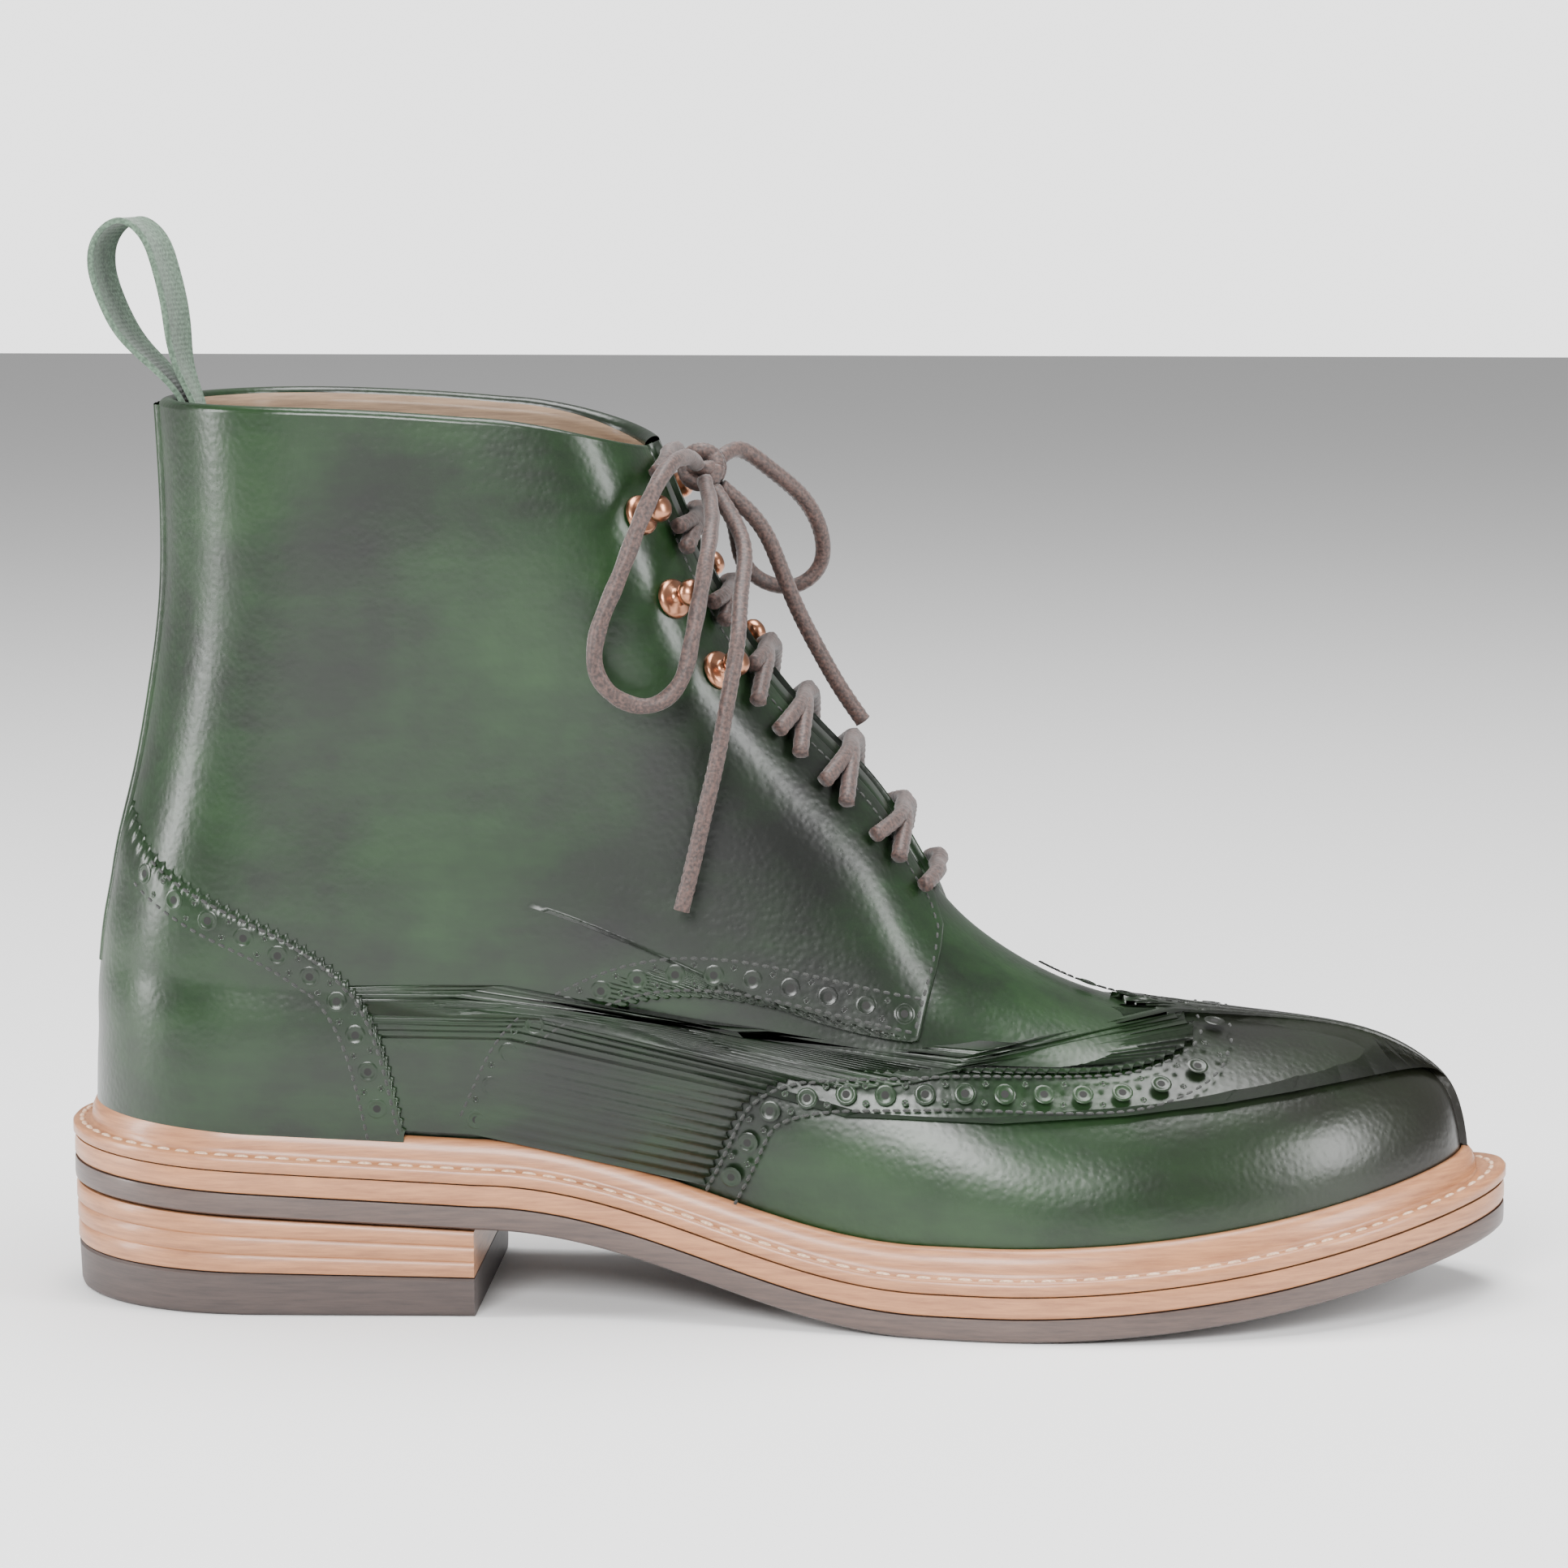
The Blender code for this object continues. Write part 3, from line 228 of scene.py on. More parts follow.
# Places on the facing, with columns: along, rise (shares as above)
PUNCHES = np.array([
    (0.577, 0.500),
    (0.544, 0.562),
    (0.512, 0.613),
    (0.481, 0.665),
])
HOOKS = np.array([
    (0.455, 0.724),
    (0.425, 0.801),
    (0.403, 0.895),
])

# Section of the storm bead from its foot to its crest, with columns: reach
# out from the upper (share of its thickness), drop (share of its rise)
BEAD_SECTION = np.array([
    (1.00, 1.00),
    (0.92, 0.45),
    (0.50, 0.10),
])

# Section of a speed hook, with columns: radius (share of half its base),
# height (share of its height)
HOOK_SECTION = np.array([
    (1.00, 0.00),
    (0.95, 0.16),
    (0.40, 0.26),
    (0.36, 0.42),
    (0.68, 0.60),
    (0.62, 0.84),
    (0.34, 0.97),
])

# Routes of the bow, in metres from the middle of the top hooks' bases, and
# from beside the knot outward. The loops come
# back to the knot, and the ends hang to their tips.
BOW = {
    "lace_loop_lateral": [
        (0.0101, -0.0200, 0.0121), (0.0066, -0.0330, 0.0101),
        (0.0021, -0.0405, 0.0006), (-0.0031, -0.0445, -0.0132), (-0.0068, -0.0465, -0.0234),
        (-0.0065, -0.0468, -0.0319), (-0.0006, -0.0460, -0.0374), (0.0045, -0.0452, -0.0380),
        (0.0095, -0.0445, -0.0347), (0.0126, -0.0435, -0.0258), (0.0141, -0.0410, -0.0174),
        (0.0156, -0.0330, -0.0064), (0.0156, -0.0210, 0.0001),
    ],
    "lace_loop_medial": [
        (0.0196, 0.0120, 0.0116), (0.0254, 0.0160, 0.0076),
        (0.0331, 0.0210, 0.0002), (0.0369, 0.0245, -0.0082), (0.0361, 0.0265, -0.0156),
        (0.0311, 0.0265, -0.0195), (0.0246, 0.0250, -0.0187), (0.0201, 0.0215, -0.0144),
        (0.0186, 0.0170, -0.0074), (0.0171, 0.0125, -0.0009),
    ],
    "lace_end_lateral": [
        (0.0216, -0.0120, -0.0064), (0.0221, -0.0240, -0.0154),
        (0.0218, -0.0378, -0.0274), (0.0200, -0.0412, -0.0384), (0.0181, -0.0428, -0.0494),
        (0.0156, -0.0438, -0.0604), (0.0131, -0.0443, -0.0714), (0.0106, -0.0448, -0.0814),
    ],
    "lace_end_medial": [
        (0.0251, 0.0055, -0.0054), (0.0286, 0.0070, -0.0134),
        (0.0326, 0.0085, -0.0234), (0.0371, 0.0100, -0.0324), (0.0416, 0.0110, -0.0404),
        (0.0466, 0.0120, -0.0479),
    ],
}

# Side view of the pull loop, in metres along X and Z from the top of the
# back line. Both legs stand inside the collar.
LOOP_ROUTE = [
    (0.0045, -0.0108), (0.0040, -0.0003), (-0.0010, 0.0067), (-0.0082, 0.0142),
    (-0.0124, 0.0222), (-0.0144, 0.0302), (-0.0128, 0.0362), (-0.0080, 0.0392),
    (-0.0034, 0.0362), (-0.0008, 0.0302), (0.0016, 0.0192), (0.0034, 0.0072),
    (0.0066, -0.0018), (0.0072, -0.0108),
]



def spline(knots, values, at):
    """Natural cubic spline through the knots, read at every place asked for."""
    knots = np.asarray(knots, float)
    values = np.asarray(values, float)
    steps = np.diff(knots)
    count = len(knots)
    system = np.zeros((count, count))
    right = np.zeros(count)
    system[0, 0] = 1.0
    system[-1, -1] = 1.0
    for i in range(1, count - 1):
        system[i, i - 1] = steps[i - 1]
        system[i, i] = 2.0 * (steps[i - 1] + steps[i])
        system[i, i + 1] = steps[i]
        right[i] = 6.0 * ((values[i + 1] - values[i]) / steps[i]
                          - (values[i] - values[i - 1]) / steps[i - 1])
    bend = np.linalg.solve(system, right)
    at = np.asarray(at, float)
    i = np.clip(np.searchsorted(knots, at) - 1, 0, count - 2)
    after = at - knots[i]
    before = knots[i + 1] - at
    step = steps[i]
    return ((bend[i] * before ** 3 + bend[i + 1] * after ** 3) / (6.0 * step)
            + (values[i] / step - bend[i] * step / 6.0) * before
            + (values[i + 1] / step - bend[i + 1] * step / 6.0) * after)


def ease(t):
    """Smooth step from 0 to 1."""
    t = np.clip(t, 0.0, 1.0)
    return t * t * (3.0 - 2.0 * t)


def share(x):
    """Place along the sole as a share of its length, from the heel back."""
    return np.asarray(x, float) / SOLE_LENGTH + 0.5


def along(s):
    """Place along X of a share of the sole length."""
    return (np.asarray(s, float) - 0.5) * SOLE_LENGTH


def round_end(t, power):
    """Half width share of a rounded end, 0 at its tip and 1 past the rounding."""
    t = np.clip(t, 0.0, 1.0)
    return np.sqrt(np.clip(1.0 - (1.0 - t) ** power, 0.0, None))


def sole_under(x):
    """Underside of the outsole: heel seat, arch, flat ball and toe spring."""
    s = share(x)
    seat = HEEL_HEIGHT * (1.0 - (1.0 - HEEL_FRONT_SHARE) * np.clip(s, 0.0, BREAST_SHARE) / BREAST_SHARE)
    arch = (1.0 + np.cos(np.pi * np.clip((s - BREAST_SHARE) / (BALL_BACK_SHARE - BREAST_SHARE), 0.0, 1.0))) / 2.0
    spring = np.clip((s - BALL_FRONT_SHARE) / (1.0 - BALL_FRONT_SHARE), 0.0, None) ** TOE_SPRING_POWER
    return seat * arch + TOE_SPRING * spring


def midsole_under(x):
    return sole_under(x) + OUTSOLE + GAP


def feather(x):
    """Level where the welt and the upper stand on the midsole."""
    return midsole_under(x) + MIDSOLE + GAP * 4.5


def sole_plan(x):
    """Half width and middle line of the sole, before its ends are rounded."""
    s = share(x)
    outer = spline(SOLE_PLAN[:, 0], SOLE_PLAN[:, 1], s)
    inner = spline(SOLE_PLAN[:, 0], SOLE_PLAN[:, 2], s)
    return (outer + inner) * SOLE_WIDTH / 4.0, (inner - outer) * SOLE_WIDTH / 4.0


def profile(h, column):
    """One column of the side profile at a height share from 0 to 1."""
    rows = np.arange(len(PROFILE)) / (len(PROFILE) - 1.0)
    return spline(rows, PROFILE[:, column], h)


BEAD_ROW = 1.0 / (len(PROFILE) - 1.0)
HEIGHTS = np.linspace(0.0, 1.0, 1401)
FRONT_X = along(profile(HEIGHTS, 0))
FRONT_Z = feather(FRONT_X) + profile(HEIGHTS, 1) * UPPER_HEIGHT
BACK_X = along(profile(HEIGHTS, 2))
BACK_Z = feather(BACK_X) + profile(HEIGHTS, 3) * UPPER_HEIGHT
TOE_TIP = FRONT_X.max()
SHIN_SLOPE = (FRONT_Z[-1] - FRONT_Z[-60]) / (FRONT_X[-1] - FRONT_X[-60])


def ridge(x):
    """Height of the front line over a place along the foot."""
    order = np.argsort(FRONT_X)
    low = np.interp(x, FRONT_X[order], FRONT_Z[order])
    return np.where(x < FRONT_X[-1], FRONT_Z[-1] + SHIN_SLOPE * (x - FRONT_X[-1]), low)


def back_line(z):
    """Place along X of the back line at a height."""
    order = np.argsort(BACK_Z)
    return np.interp(z, BACK_Z[order], BACK_X[order])


def middle(x, z):
    """Middle line of the upper, which leans to the inner side at the toe only."""
    rise = (z - feather(x)) / UPPER_HEIGHT
    return sole_plan(x)[1] * (1.0 - ease((rise - 0.15) / 0.5))


def half_width(x, z, tip):
    """Half width of the upper at a place in its side view.

    Foot width below goes over into shaft width above, and the width closes
    with rounded ends at the ridge, the back line and the toe tip.
    """
    rise = (z - feather(x)) / UPPER_HEIGHT
    foot = sole_plan(x)[0] - SIDE_MARGIN
    shaft = spline(SHAFT[:, 0], SHAFT[:, 1], np.clip(rise, 0.0, 1.1)) * SHAFT_WIDTH / 2.0
    mix = ease(rise / 0.42) * (1.0 - ease((share(x) - 0.532) / 0.238))
    swell = SIDE_SWELL * np.sin(np.pi * np.clip(rise / 0.24, 0.0, 1.0))
    width = foot * (1.0 - mix) + shaft * mix + swell
    closing = np.clip((z - feather(x)) / np.maximum(ridge(x) - feather(x), 1e-6), 0.0, 1.0)
    power = 2.5 + 5.5 * (1.0 - ease((share(x) - 0.405) / 0.302))
    over = np.sqrt(np.clip(1.0 - closing ** power, 0.0, None))
    heel = round_end((x - back_line(z)) / HEEL_ROUND, 2.3)
    toe = round_end((tip - x) / TOE_ROUND, 2.5)
    return width * over * heel * toe


def side_view(c, h):
    """Side-view place of a point: c from 0 at the front to 1 at the back,
    h from 0 at the welt to 1 at the collar.

    Columns keep their distance from the back line, so they stand upright
    at the heel and fan out over the forefoot.
    """
    near = (1.0 + np.cos(np.pi * c)) / 2.0
    front = along(profile(h, 0))
    back = along(profile(h, 2))
    length = front - back
    reach = BACK_REACH * near + (length - BACK_REACH) * near ** 4
    rise = profile(h, 3) + (profile(h, 1) - profile(h, 3)) * reach / length
    x = back + reach
    rim = RIM_RISE * ease((h - 0.80) / 0.20) * np.sin(np.pi * np.clip(reach / length, 0.0, 1.0))
    return x, feather(x) + rise * UPPER_HEIGHT + rim, front


def skin(w, h):
    """Point of the upper: w is 0 at the front, -1 and 1 at the back, by the
    outer side when negative and by the inner side when positive."""
    w = (w + 1.0) % 2.0 - 1.0
    c = np.abs(w)
    x, z, front = side_view(c, h)
    wide = half_width(x, z, np.maximum(TOE_TIP, front))
    wide = np.where((c < 1e-9) | (c > 1.0 - 1e-9), 0.0, wide)
    return np.stack([x, middle(x, z) + np.sign(w) * wide, z], -1)


def normal(w, h):
    """Outward normal of the upper, from central differences."""
    small = 2e-3
    around = skin(w + small, h) - skin(w - small, h)
    upward = skin(w, h + small) - skin(w, h - small)
    out = np.cross(around, upward)
    return out / (np.linalg.norm(out, axis=-1, keepdims=True) + 1e-15)


def surface(w, h, lift=0.0):
    """Point of the upper moved out along its normal."""
    w, h, lift = np.broadcast_arrays(*(np.asarray(a, float) for a in (w, h, lift)))
    return skin(w, h) + normal(w, h) * lift[..., None]


def column_at(width, h):
    """Column share where the upper is a given half width out from the front."""
    columns = np.linspace(0.0, 0.5, 401)
    widths = skin(columns, np.full_like(columns, h))
    out = widths[:, 1] - middle(widths[:, 0], widths[:, 2])
    return float(np.interp(width, np.maximum.accumulate(out), columns))


def side_spot(x, z, side, lift=0.0):
    """Point on one side of the upper over a side-view place, moved out along
    the normal, and that normal. The side is -1 outer, 1 inner."""
    small = 1e-4
    wide = half_width(x, z, TOE_TIP)
    slope_x = (half_width(x + small, z, TOE_TIP) - half_width(x - small, z, TOE_TIP)) / (2 * small)
    slope_z = (half_width(x, z + small, TOE_TIP) - half_width(x, z - small, TOE_TIP)) / (2 * small)
    out = np.array([-float(slope_x), side, -float(slope_z)])
    out /= np.linalg.norm(out)
    point = np.array([float(x), float(middle(x, z)) + side * float(wide), float(z)])
    return point + out * lift, out


def throat_half(h):
    """Half width of the throat opening at a height share."""
    t = np.clip((h - THROAT_SHARE) / (1.0 - THROAT_SHARE), 0.0, 1.0)
    return THROAT_HALF_LOW + (THROAT_HALF_HIGH - THROAT_HALF_LOW) * t




def sole_edge(x, inset):
    """Outer and inner edge of the sole, moved in by an inset."""
    half, mid = sole_plan(x)
    end = SOLE_LENGTH / 2.0 - inset
    x = np.clip(x, -end, end)
    wide = ((half - inset) * round_end((x + end) / SOLE_HEEL_ROUND, 2.2)
            * round_end((end - x) / SOLE_TOE_ROUND, 2.5))
    return mid - wide, mid + wide


def smooth_line(line, count):
    """Side-view places in metres at even steps along a smooth curve through a
    pattern line of along and rise shares."""
    steps = np.linalg.norm(np.diff(line, axis=0), axis=1)
    far = np.concatenate([[0.0], np.cumsum(steps)])
    at = np.linspace(0.0, far[-1], count)
    x = along(spline(far, line[:, 0], at))
    rise = spline(far, line[:, 1], at) * UPPER_HEIGHT
    return np.stack([x, feather(x) + rise], -1)


def moved_out(line, distance):
    """Side-view line moved sideways to its left by a distance."""
    step = np.gradient(line, axis=0)
    step /= np.linalg.norm(step, axis=1, keepdims=True)
    return line + np.stack([-step[:, 1], step[:, 0]], -1) * distance




def side_place(row):
    """Side-view place in metres of a row of along and rise shares."""
    x = float(along(row[0]))
    return x, float(feather(x)) + row[1] * UPPER_HEIGHT




def ridge_foot(x, z, lean):
    """Place on the front line nearest a side-view place, moved up by a lean."""
    nearest = np.argmin((FRONT_X - x) ** 2 + (FRONT_Z - z) ** 2)
    height = FRONT_Z[nearest] + lean
    up = int(np.argmin(np.abs(FRONT_Z - height)))
    step = np.array([FRONT_X[up + 1] - FRONT_X[up - 1], 0.0, FRONT_Z[up + 1] - FRONT_Z[up - 1]])
    return FRONT_X[up], FRONT_Z[up], step / np.linalg.norm(step)


def strand(start, end, lean, start_reach, end_reach):
    """Lace strand over the throat from a place on the outer side to one on
    the inner side. It runs square to the front line at the middle."""
    x, z, up = ridge_foot((start[0] + end[0]) / 2.0, (start[1] + end[1]) / 2.0, lean)
    t = np.linspace(-start_reach, end_reach, 7)
    far = t * t
    aim_x = np.where(t < 0.0, start[0], end[0])
    aim_z = np.where(t < 0.0, start[1], end[1])
    place_x = x + (aim_x - x) * far
    place_z = z + (aim_z - z) * far
    wide = half_width(place_x, place_z, TOE_TIP)
    wide = np.where(np.abs(t) < 1e-6, 0.0, wide)
    path = np.stack([place_x, np.sign(t) * wide, place_z], -1)
    across = np.gradient(path, axis=0)
    out = np.cross(across, up)
    out /= np.linalg.norm(out, axis=1, keepdims=True)
    edge = ease(np.abs(t) / 0.5)
    lift = LACE / 2.0 + STRAND_CLEAR + edge * (QUARTER_THICK + GAP)
    return path + out * lift[:, None]




def bow_origin():
    """Middle of the top pair of hooks, from which the bow is placed."""
    x, z = side_place(HOOKS[-1])
    return np.array([x, 0.0, z])


def at_knot(toward):
    """Place just off the knot, in the direction of a point."""
    centre = bow_origin() + np.array(KNOT_PLACE)
    aim = np.array(toward) - centre
    aim /= np.linalg.norm(aim)
    reach = 1.0 / math.sqrt(np.sum((aim / (np.array(KNOT_SIZE) / 2.0)) ** 2))
    return centre + aim * (reach + GAP)




def locate(x, z):
    """Grid place of side-view points: c and h whose side view is nearest."""
    grid_c, grid_h = np.meshgrid(np.linspace(0.0, 1.0, 141), np.linspace(0.0, 1.0, 141),
                                 indexing="ij")
    gx, gz, front = side_view(grid_c, grid_h)
    found_c = np.empty(np.shape(x))
    found_h = np.empty(np.shape(x))
    for i, (px, pz) in enumerate(zip(np.ravel(x), np.ravel(z))):
        at = np.unravel_index(np.argmin((gx - px) ** 2 + (gz - pz) ** 2), gx.shape)
        c, h = grid_c[at], grid_h[at]
        for _ in range(6):
            small = 1e-4
            x0, z0, front = side_view(c, h)
            xc, zc, front = side_view(c + small, h)
            xh, zh, front = side_view(c, h + small)
            a, b = (xc - x0) / small, (xh - x0) / small
            d, e = (zc - z0) / small, (zh - z0) / small
            size = a * e - b * d
            if abs(size) < 1e-12:
                break
            c = np.clip(c + ((px - x0) * e - (pz - z0) * b) / size, 0.0, 1.0)
            h = np.clip(h + ((pz - z0) * a - (px - x0) * d) / size, 0.0, 1.02)
        found_c[i], found_h[i] = c, h
    return found_c, found_h


def make_object(name, points, faces, finish, smooth=True):
    """Object at the origin from points and faces, riding on the boot."""
    mesh = bpy.data.meshes.new(name)
    mesh.from_pydata(np.asarray(points).reshape(-1, 3).tolist(), [], faces)
    mesh.update()
    if smooth:
        mesh.shade_smooth()
    made = bpy.data.objects.new(name, mesh)
    made.data.materials.append(finish)
    bpy.context.scene.collection.objects.link(made)
    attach(made, "root")
    return made


def grid(rows, columns, closed=False, flip=False):
    """Quads of a grid stored row by row, worked out as one array."""
    r, i = np.meshgrid(np.arange(rows - 1), np.arange(columns if closed else columns - 1),
                       indexing="ij")
    j = (i + 1) % columns
    quads = np.stack([r * columns + i, r * columns + j, (r + 1) * columns + j,
                      (r + 1) * columns + i], -1).reshape(-1, 4)
    if flip:
        quads = quads[:, ::-1]
    return quads.tolist()


def even(line, count):
    """Points at even steps along a line."""
    line = np.asarray(line, float)
    steps = np.linalg.norm(np.diff(line, axis=0), axis=1)
    far = np.concatenate([[0.0], np.cumsum(steps)])
    at = np.linspace(0.0, far[-1], count)
    return np.stack([np.interp(at, far, line[:, k]) for k in range(line.shape[1])], -1)


def smooth_path(line, count):
    """Points at even steps along a natural cubic curve through a line."""
    line = np.asarray(line, float)
    steps = np.linalg.norm(np.diff(line, axis=0), axis=1)
    far = np.concatenate([[0.0], np.cumsum(steps)])
    dense = np.linspace(0.0, far[-1], count * 4)
    curve = np.stack([spline(far, line[:, k], dense) for k in range(line.shape[1])], -1)
    return even(curve, count)


def cord_tube(path, radius, sides, wave=0.0, turns=0.0):
    """Tube along a path: a circle carried along it without twist, with a
    radius that rises and falls as a braid does."""
    path = np.asarray(path, float)
    ahead = np.gradient(path, axis=0)
    ahead /= np.linalg.norm(ahead, axis=1, keepdims=True)
    side = np.zeros_like(path)
    side[0] = np.cross(ahead[0], [0.3, 0.2, 0.93])
    for i in range(len(path)):
        start = side[max(i - 1, 0)]
        start = start - ahead[i] * np.dot(start, ahead[i])
        side[i] = start / np.linalg.norm(start)
    over = np.cross(ahead, side)
    turn = np.arange(sides) * 2.0 * np.pi / sides
    far = np.linspace(0.0, turns * 2.0 * np.pi, len(path))
    grow = 1.0 + wave * np.cos(3.0 * turn[None, :] + far[:, None]) * np.cos(far[:, None] * 1.0 - turn)
    ring = (np.cos(turn)[None, :, None] * side[:, None, :]
            + np.sin(turn)[None, :, None] * over[:, None, :])
    points = path[:, None, :] + ring * (radius * grow)[..., None]
    faces = grid(len(path), sides, closed=True)
    faces.append(list(range(sides))[::-1])
    faces.append(list(range((len(path) - 1) * sides, len(path) * sides)))
    return points.reshape(-1, 3), faces


def joined(parts):
    """Points and faces of several shapes as one mesh."""
    points, faces, start = [], [], 0
    for shape_points, shape_faces in parts:
        points.append(np.asarray(shape_points).reshape(-1, 3))
        faces.extend([[i + start for i in face] for face in shape_faces])
        start += len(points[-1])
    return np.concatenate(points), faces


def repeated(shape_points, shape_faces, places, axes_x, axes_z, scales=None):
    """Copies of one small shape at many places, each turned to its own axes."""
    shape_points = np.asarray(shape_points, float)
    x = axes_x - axes_z * np.sum(axes_x * axes_z, axis=1, keepdims=True)
    x /= np.linalg.norm(x, axis=1, keepdims=True)
    y = np.cross(axes_z, x)
    if scales is None:
        scales = np.ones(len(places))
    p = shape_points[None] * np.asarray(scales)[:, None, None]
    points = (places[:, None] + p[..., 0:1] * x[:, None] + p[..., 1:2] * y[:, None]
              + p[..., 2:3] * axes_z[:, None])
    count = len(shape_points)
    faces = [[i + k * count for i in face] for k in range(len(places)) for face in shape_faces]
    return points.reshape(-1, 3), faces


def principled(name, colour, rough, metal=0.0, coat=0.0, sheen=0.0, spec=0.5):
    """Material with one Principled shader and its plain values."""
    made = bpy.data.materials.new(name)
    made.use_nodes = True
    shader = made.node_tree.nodes["Principled BSDF"]
    shader.inputs["Base Color"].default_value = (*colour, 1.0)
    shader.inputs["Roughness"].default_value = rough
    shader.inputs["Metallic"].default_value = metal
    shader.inputs["Coat Weight"].default_value = coat
    shader.inputs["Coat Roughness"].default_value = 0.18
    shader.inputs["Sheen Weight"].default_value = sheen
    shader.inputs["Specular IOR Level"].default_value = spec
    return made, made.node_tree, shader


def node(tree, kind, **values):
    made = tree.nodes.new(kind)
    for key, value in values.items():
        if key in made.inputs:
            made.inputs[key].default_value = value
        else:
            setattr(made, key, value)
    return made


def ramp(tree, source, stops):
    """Colour ramp over a value, from (place, colour) stops."""
    made = tree.nodes.new("ShaderNodeValToRGB")
    while len(made.color_ramp.elements) < len(stops):
        made.color_ramp.elements.new(0.5)
    for element, (place, colour) in zip(made.color_ramp.elements, stops):
        element.position = place
        element.color = (*colour, 1.0)
    tree.links.new(source, made.inputs["Fac"])
    return made.outputs["Color"]


def grain_group():
    """Leather grain: fine pebbles over long soft creases, as a normal."""
    group = bpy.data.node_groups.new("leather_grain", "ShaderNodeTree")
    face = group.interface
    for label, value in (("Scale", 900.0), ("Depth", 0.2)):
        socket = face.new_socket(label, in_out="INPUT", socket_type="NodeSocketFloat")
        socket.default_value = value
    face.new_socket("Normal", in_out="OUTPUT", socket_type="NodeSocketVector")
    face.new_socket("Mask", in_out="OUTPUT", socket_type="NodeSocketFloat")
    start = group.nodes.new("NodeGroupInput")
    end = group.nodes.new("NodeGroupOutput")
    place = group.nodes.new("ShaderNodeTexCoord")
    pebble = group.nodes.new("ShaderNodeTexVoronoi")
    pebble.feature = "SMOOTH_F1"
    cloud = group.nodes.new("ShaderNodeTexNoise")
    cloud.inputs["Scale"].default_value = 260.0
    cloud.inputs["Detail"].default_value = 6.0
    broad = group.nodes.new("ShaderNodeTexNoise")
    broad.inputs["Scale"].default_value = 28.0
    broad.inputs["Detail"].default_value = 3.0
    mix = group.nodes.new("ShaderNodeMath")
    mix.operation = "MULTIPLY_ADD"
    mix.inputs[1].default_value = 0.6
    bump = group.nodes.new("ShaderNodeBump")
    bump.inputs["Distance"].default_value = 0.0004
    links = group.links
    for texture in (pebble, cloud, broad):
        links.new(place.outputs["Object"], texture.inputs["Vector"])
    links.new(start.outputs["Scale"], pebble.inputs["Scale"])
    links.new(cloud.outputs["Fac"], mix.inputs[0])
    links.new(pebble.outputs["Distance"], mix.inputs[2])
    links.new(mix.outputs[0], bump.inputs["Height"])
    links.new(start.outputs["Depth"], bump.inputs["Strength"])
    links.new(bump.outputs["Normal"], end.inputs["Normal"])
    links.new(broad.outputs["Fac"], end.inputs["Mask"])
    return group


GRAIN = grain_group()


def green_leather(name, depth=0.16, dark=1.0):
    """Patina leather: green worn into near black by cloudy dye, darker and
    browner toward the toe, under a polished coat."""
    made, tree, shader = principled(name, (0.02, 0.05, 0.02), 0.30, coat=0.10, spec=0.42)
    links = tree.links
    place = node(tree, "ShaderNodeTexCoord")
    grain = tree.nodes.new("ShaderNodeGroup")
    grain.node_tree = GRAIN
    grain.inputs["Scale"].default_value = 780.0
    grain.inputs["Depth"].default_value = depth
    links.new(grain.outputs["Normal"], shader.inputs["Normal"])
    cloud = node(tree, "ShaderNodeTexNoise", Scale=13.0, Detail=5.0, Roughness=0.62)
    links.new(place.outputs["Object"], cloud.inputs["Vector"])
    brushed = node(tree, "ShaderNodeTexNoise", Scale=55.0, Detail=4.0, Roughness=0.7)
    stretch = node(tree, "ShaderNodeMapping")
    stretch.inputs["Scale"].default_value = (0.35, 1.0, 1.5)
    links.new(place.outputs["Object"], stretch.inputs["Vector"])
    links.new(stretch.outputs["Vector"], brushed.inputs["Vector"])
    both = node(tree, "ShaderNodeMath", operation="MULTIPLY_ADD")
    both.inputs[1].default_value = 0.35
    links.new(brushed.outputs["Fac"], both.inputs[0])
    links.new(cloud.outputs["Fac"], both.inputs[2])
    dye = ramp(tree, both.outputs[0], [
        (0.50, (0.0030, 0.0040, 0.0028)), (0.62, (0.0040, 0.0100, 0.0034)),
        (0.74, (0.0065, 0.0230, 0.0055)), (0.90, (0.0130, 0.0400, 0.0100))])
    parts = node(tree, "ShaderNodeSeparateXYZ")
    links.new(place.outputs["Object"], parts.inputs["Vector"])
    toe = node(tree, "ShaderNodeMapRange")
    toe.inputs["From Min"].default_value = 0.055
    toe.inputs["From Max"].default_value = 0.150
    links.new(parts.outputs["X"], toe.inputs["Value"])
    toe_mix = node(tree, "ShaderNodeMix", data_type="RGBA")
    links.new(toe.outputs["Result"], toe_mix.inputs["Factor"])
    links.new(dye, toe_mix.inputs["A"])
    toe_mix.inputs["B"].default_value = (0.0065, 0.0048, 0.0035, 1.0)
    links.new(toe_mix.outputs["Result"], shader.inputs["Base Color"])
    rough = node(tree, "ShaderNodeMapRange")
    rough.inputs["To Min"].default_value = 0.26
    rough.inputs["To Max"].default_value = 0.42
    links.new(grain.outputs["Mask"], rough.inputs["Value"])
    links.new(rough.outputs["Result"], shader.inputs["Roughness"])
    return made


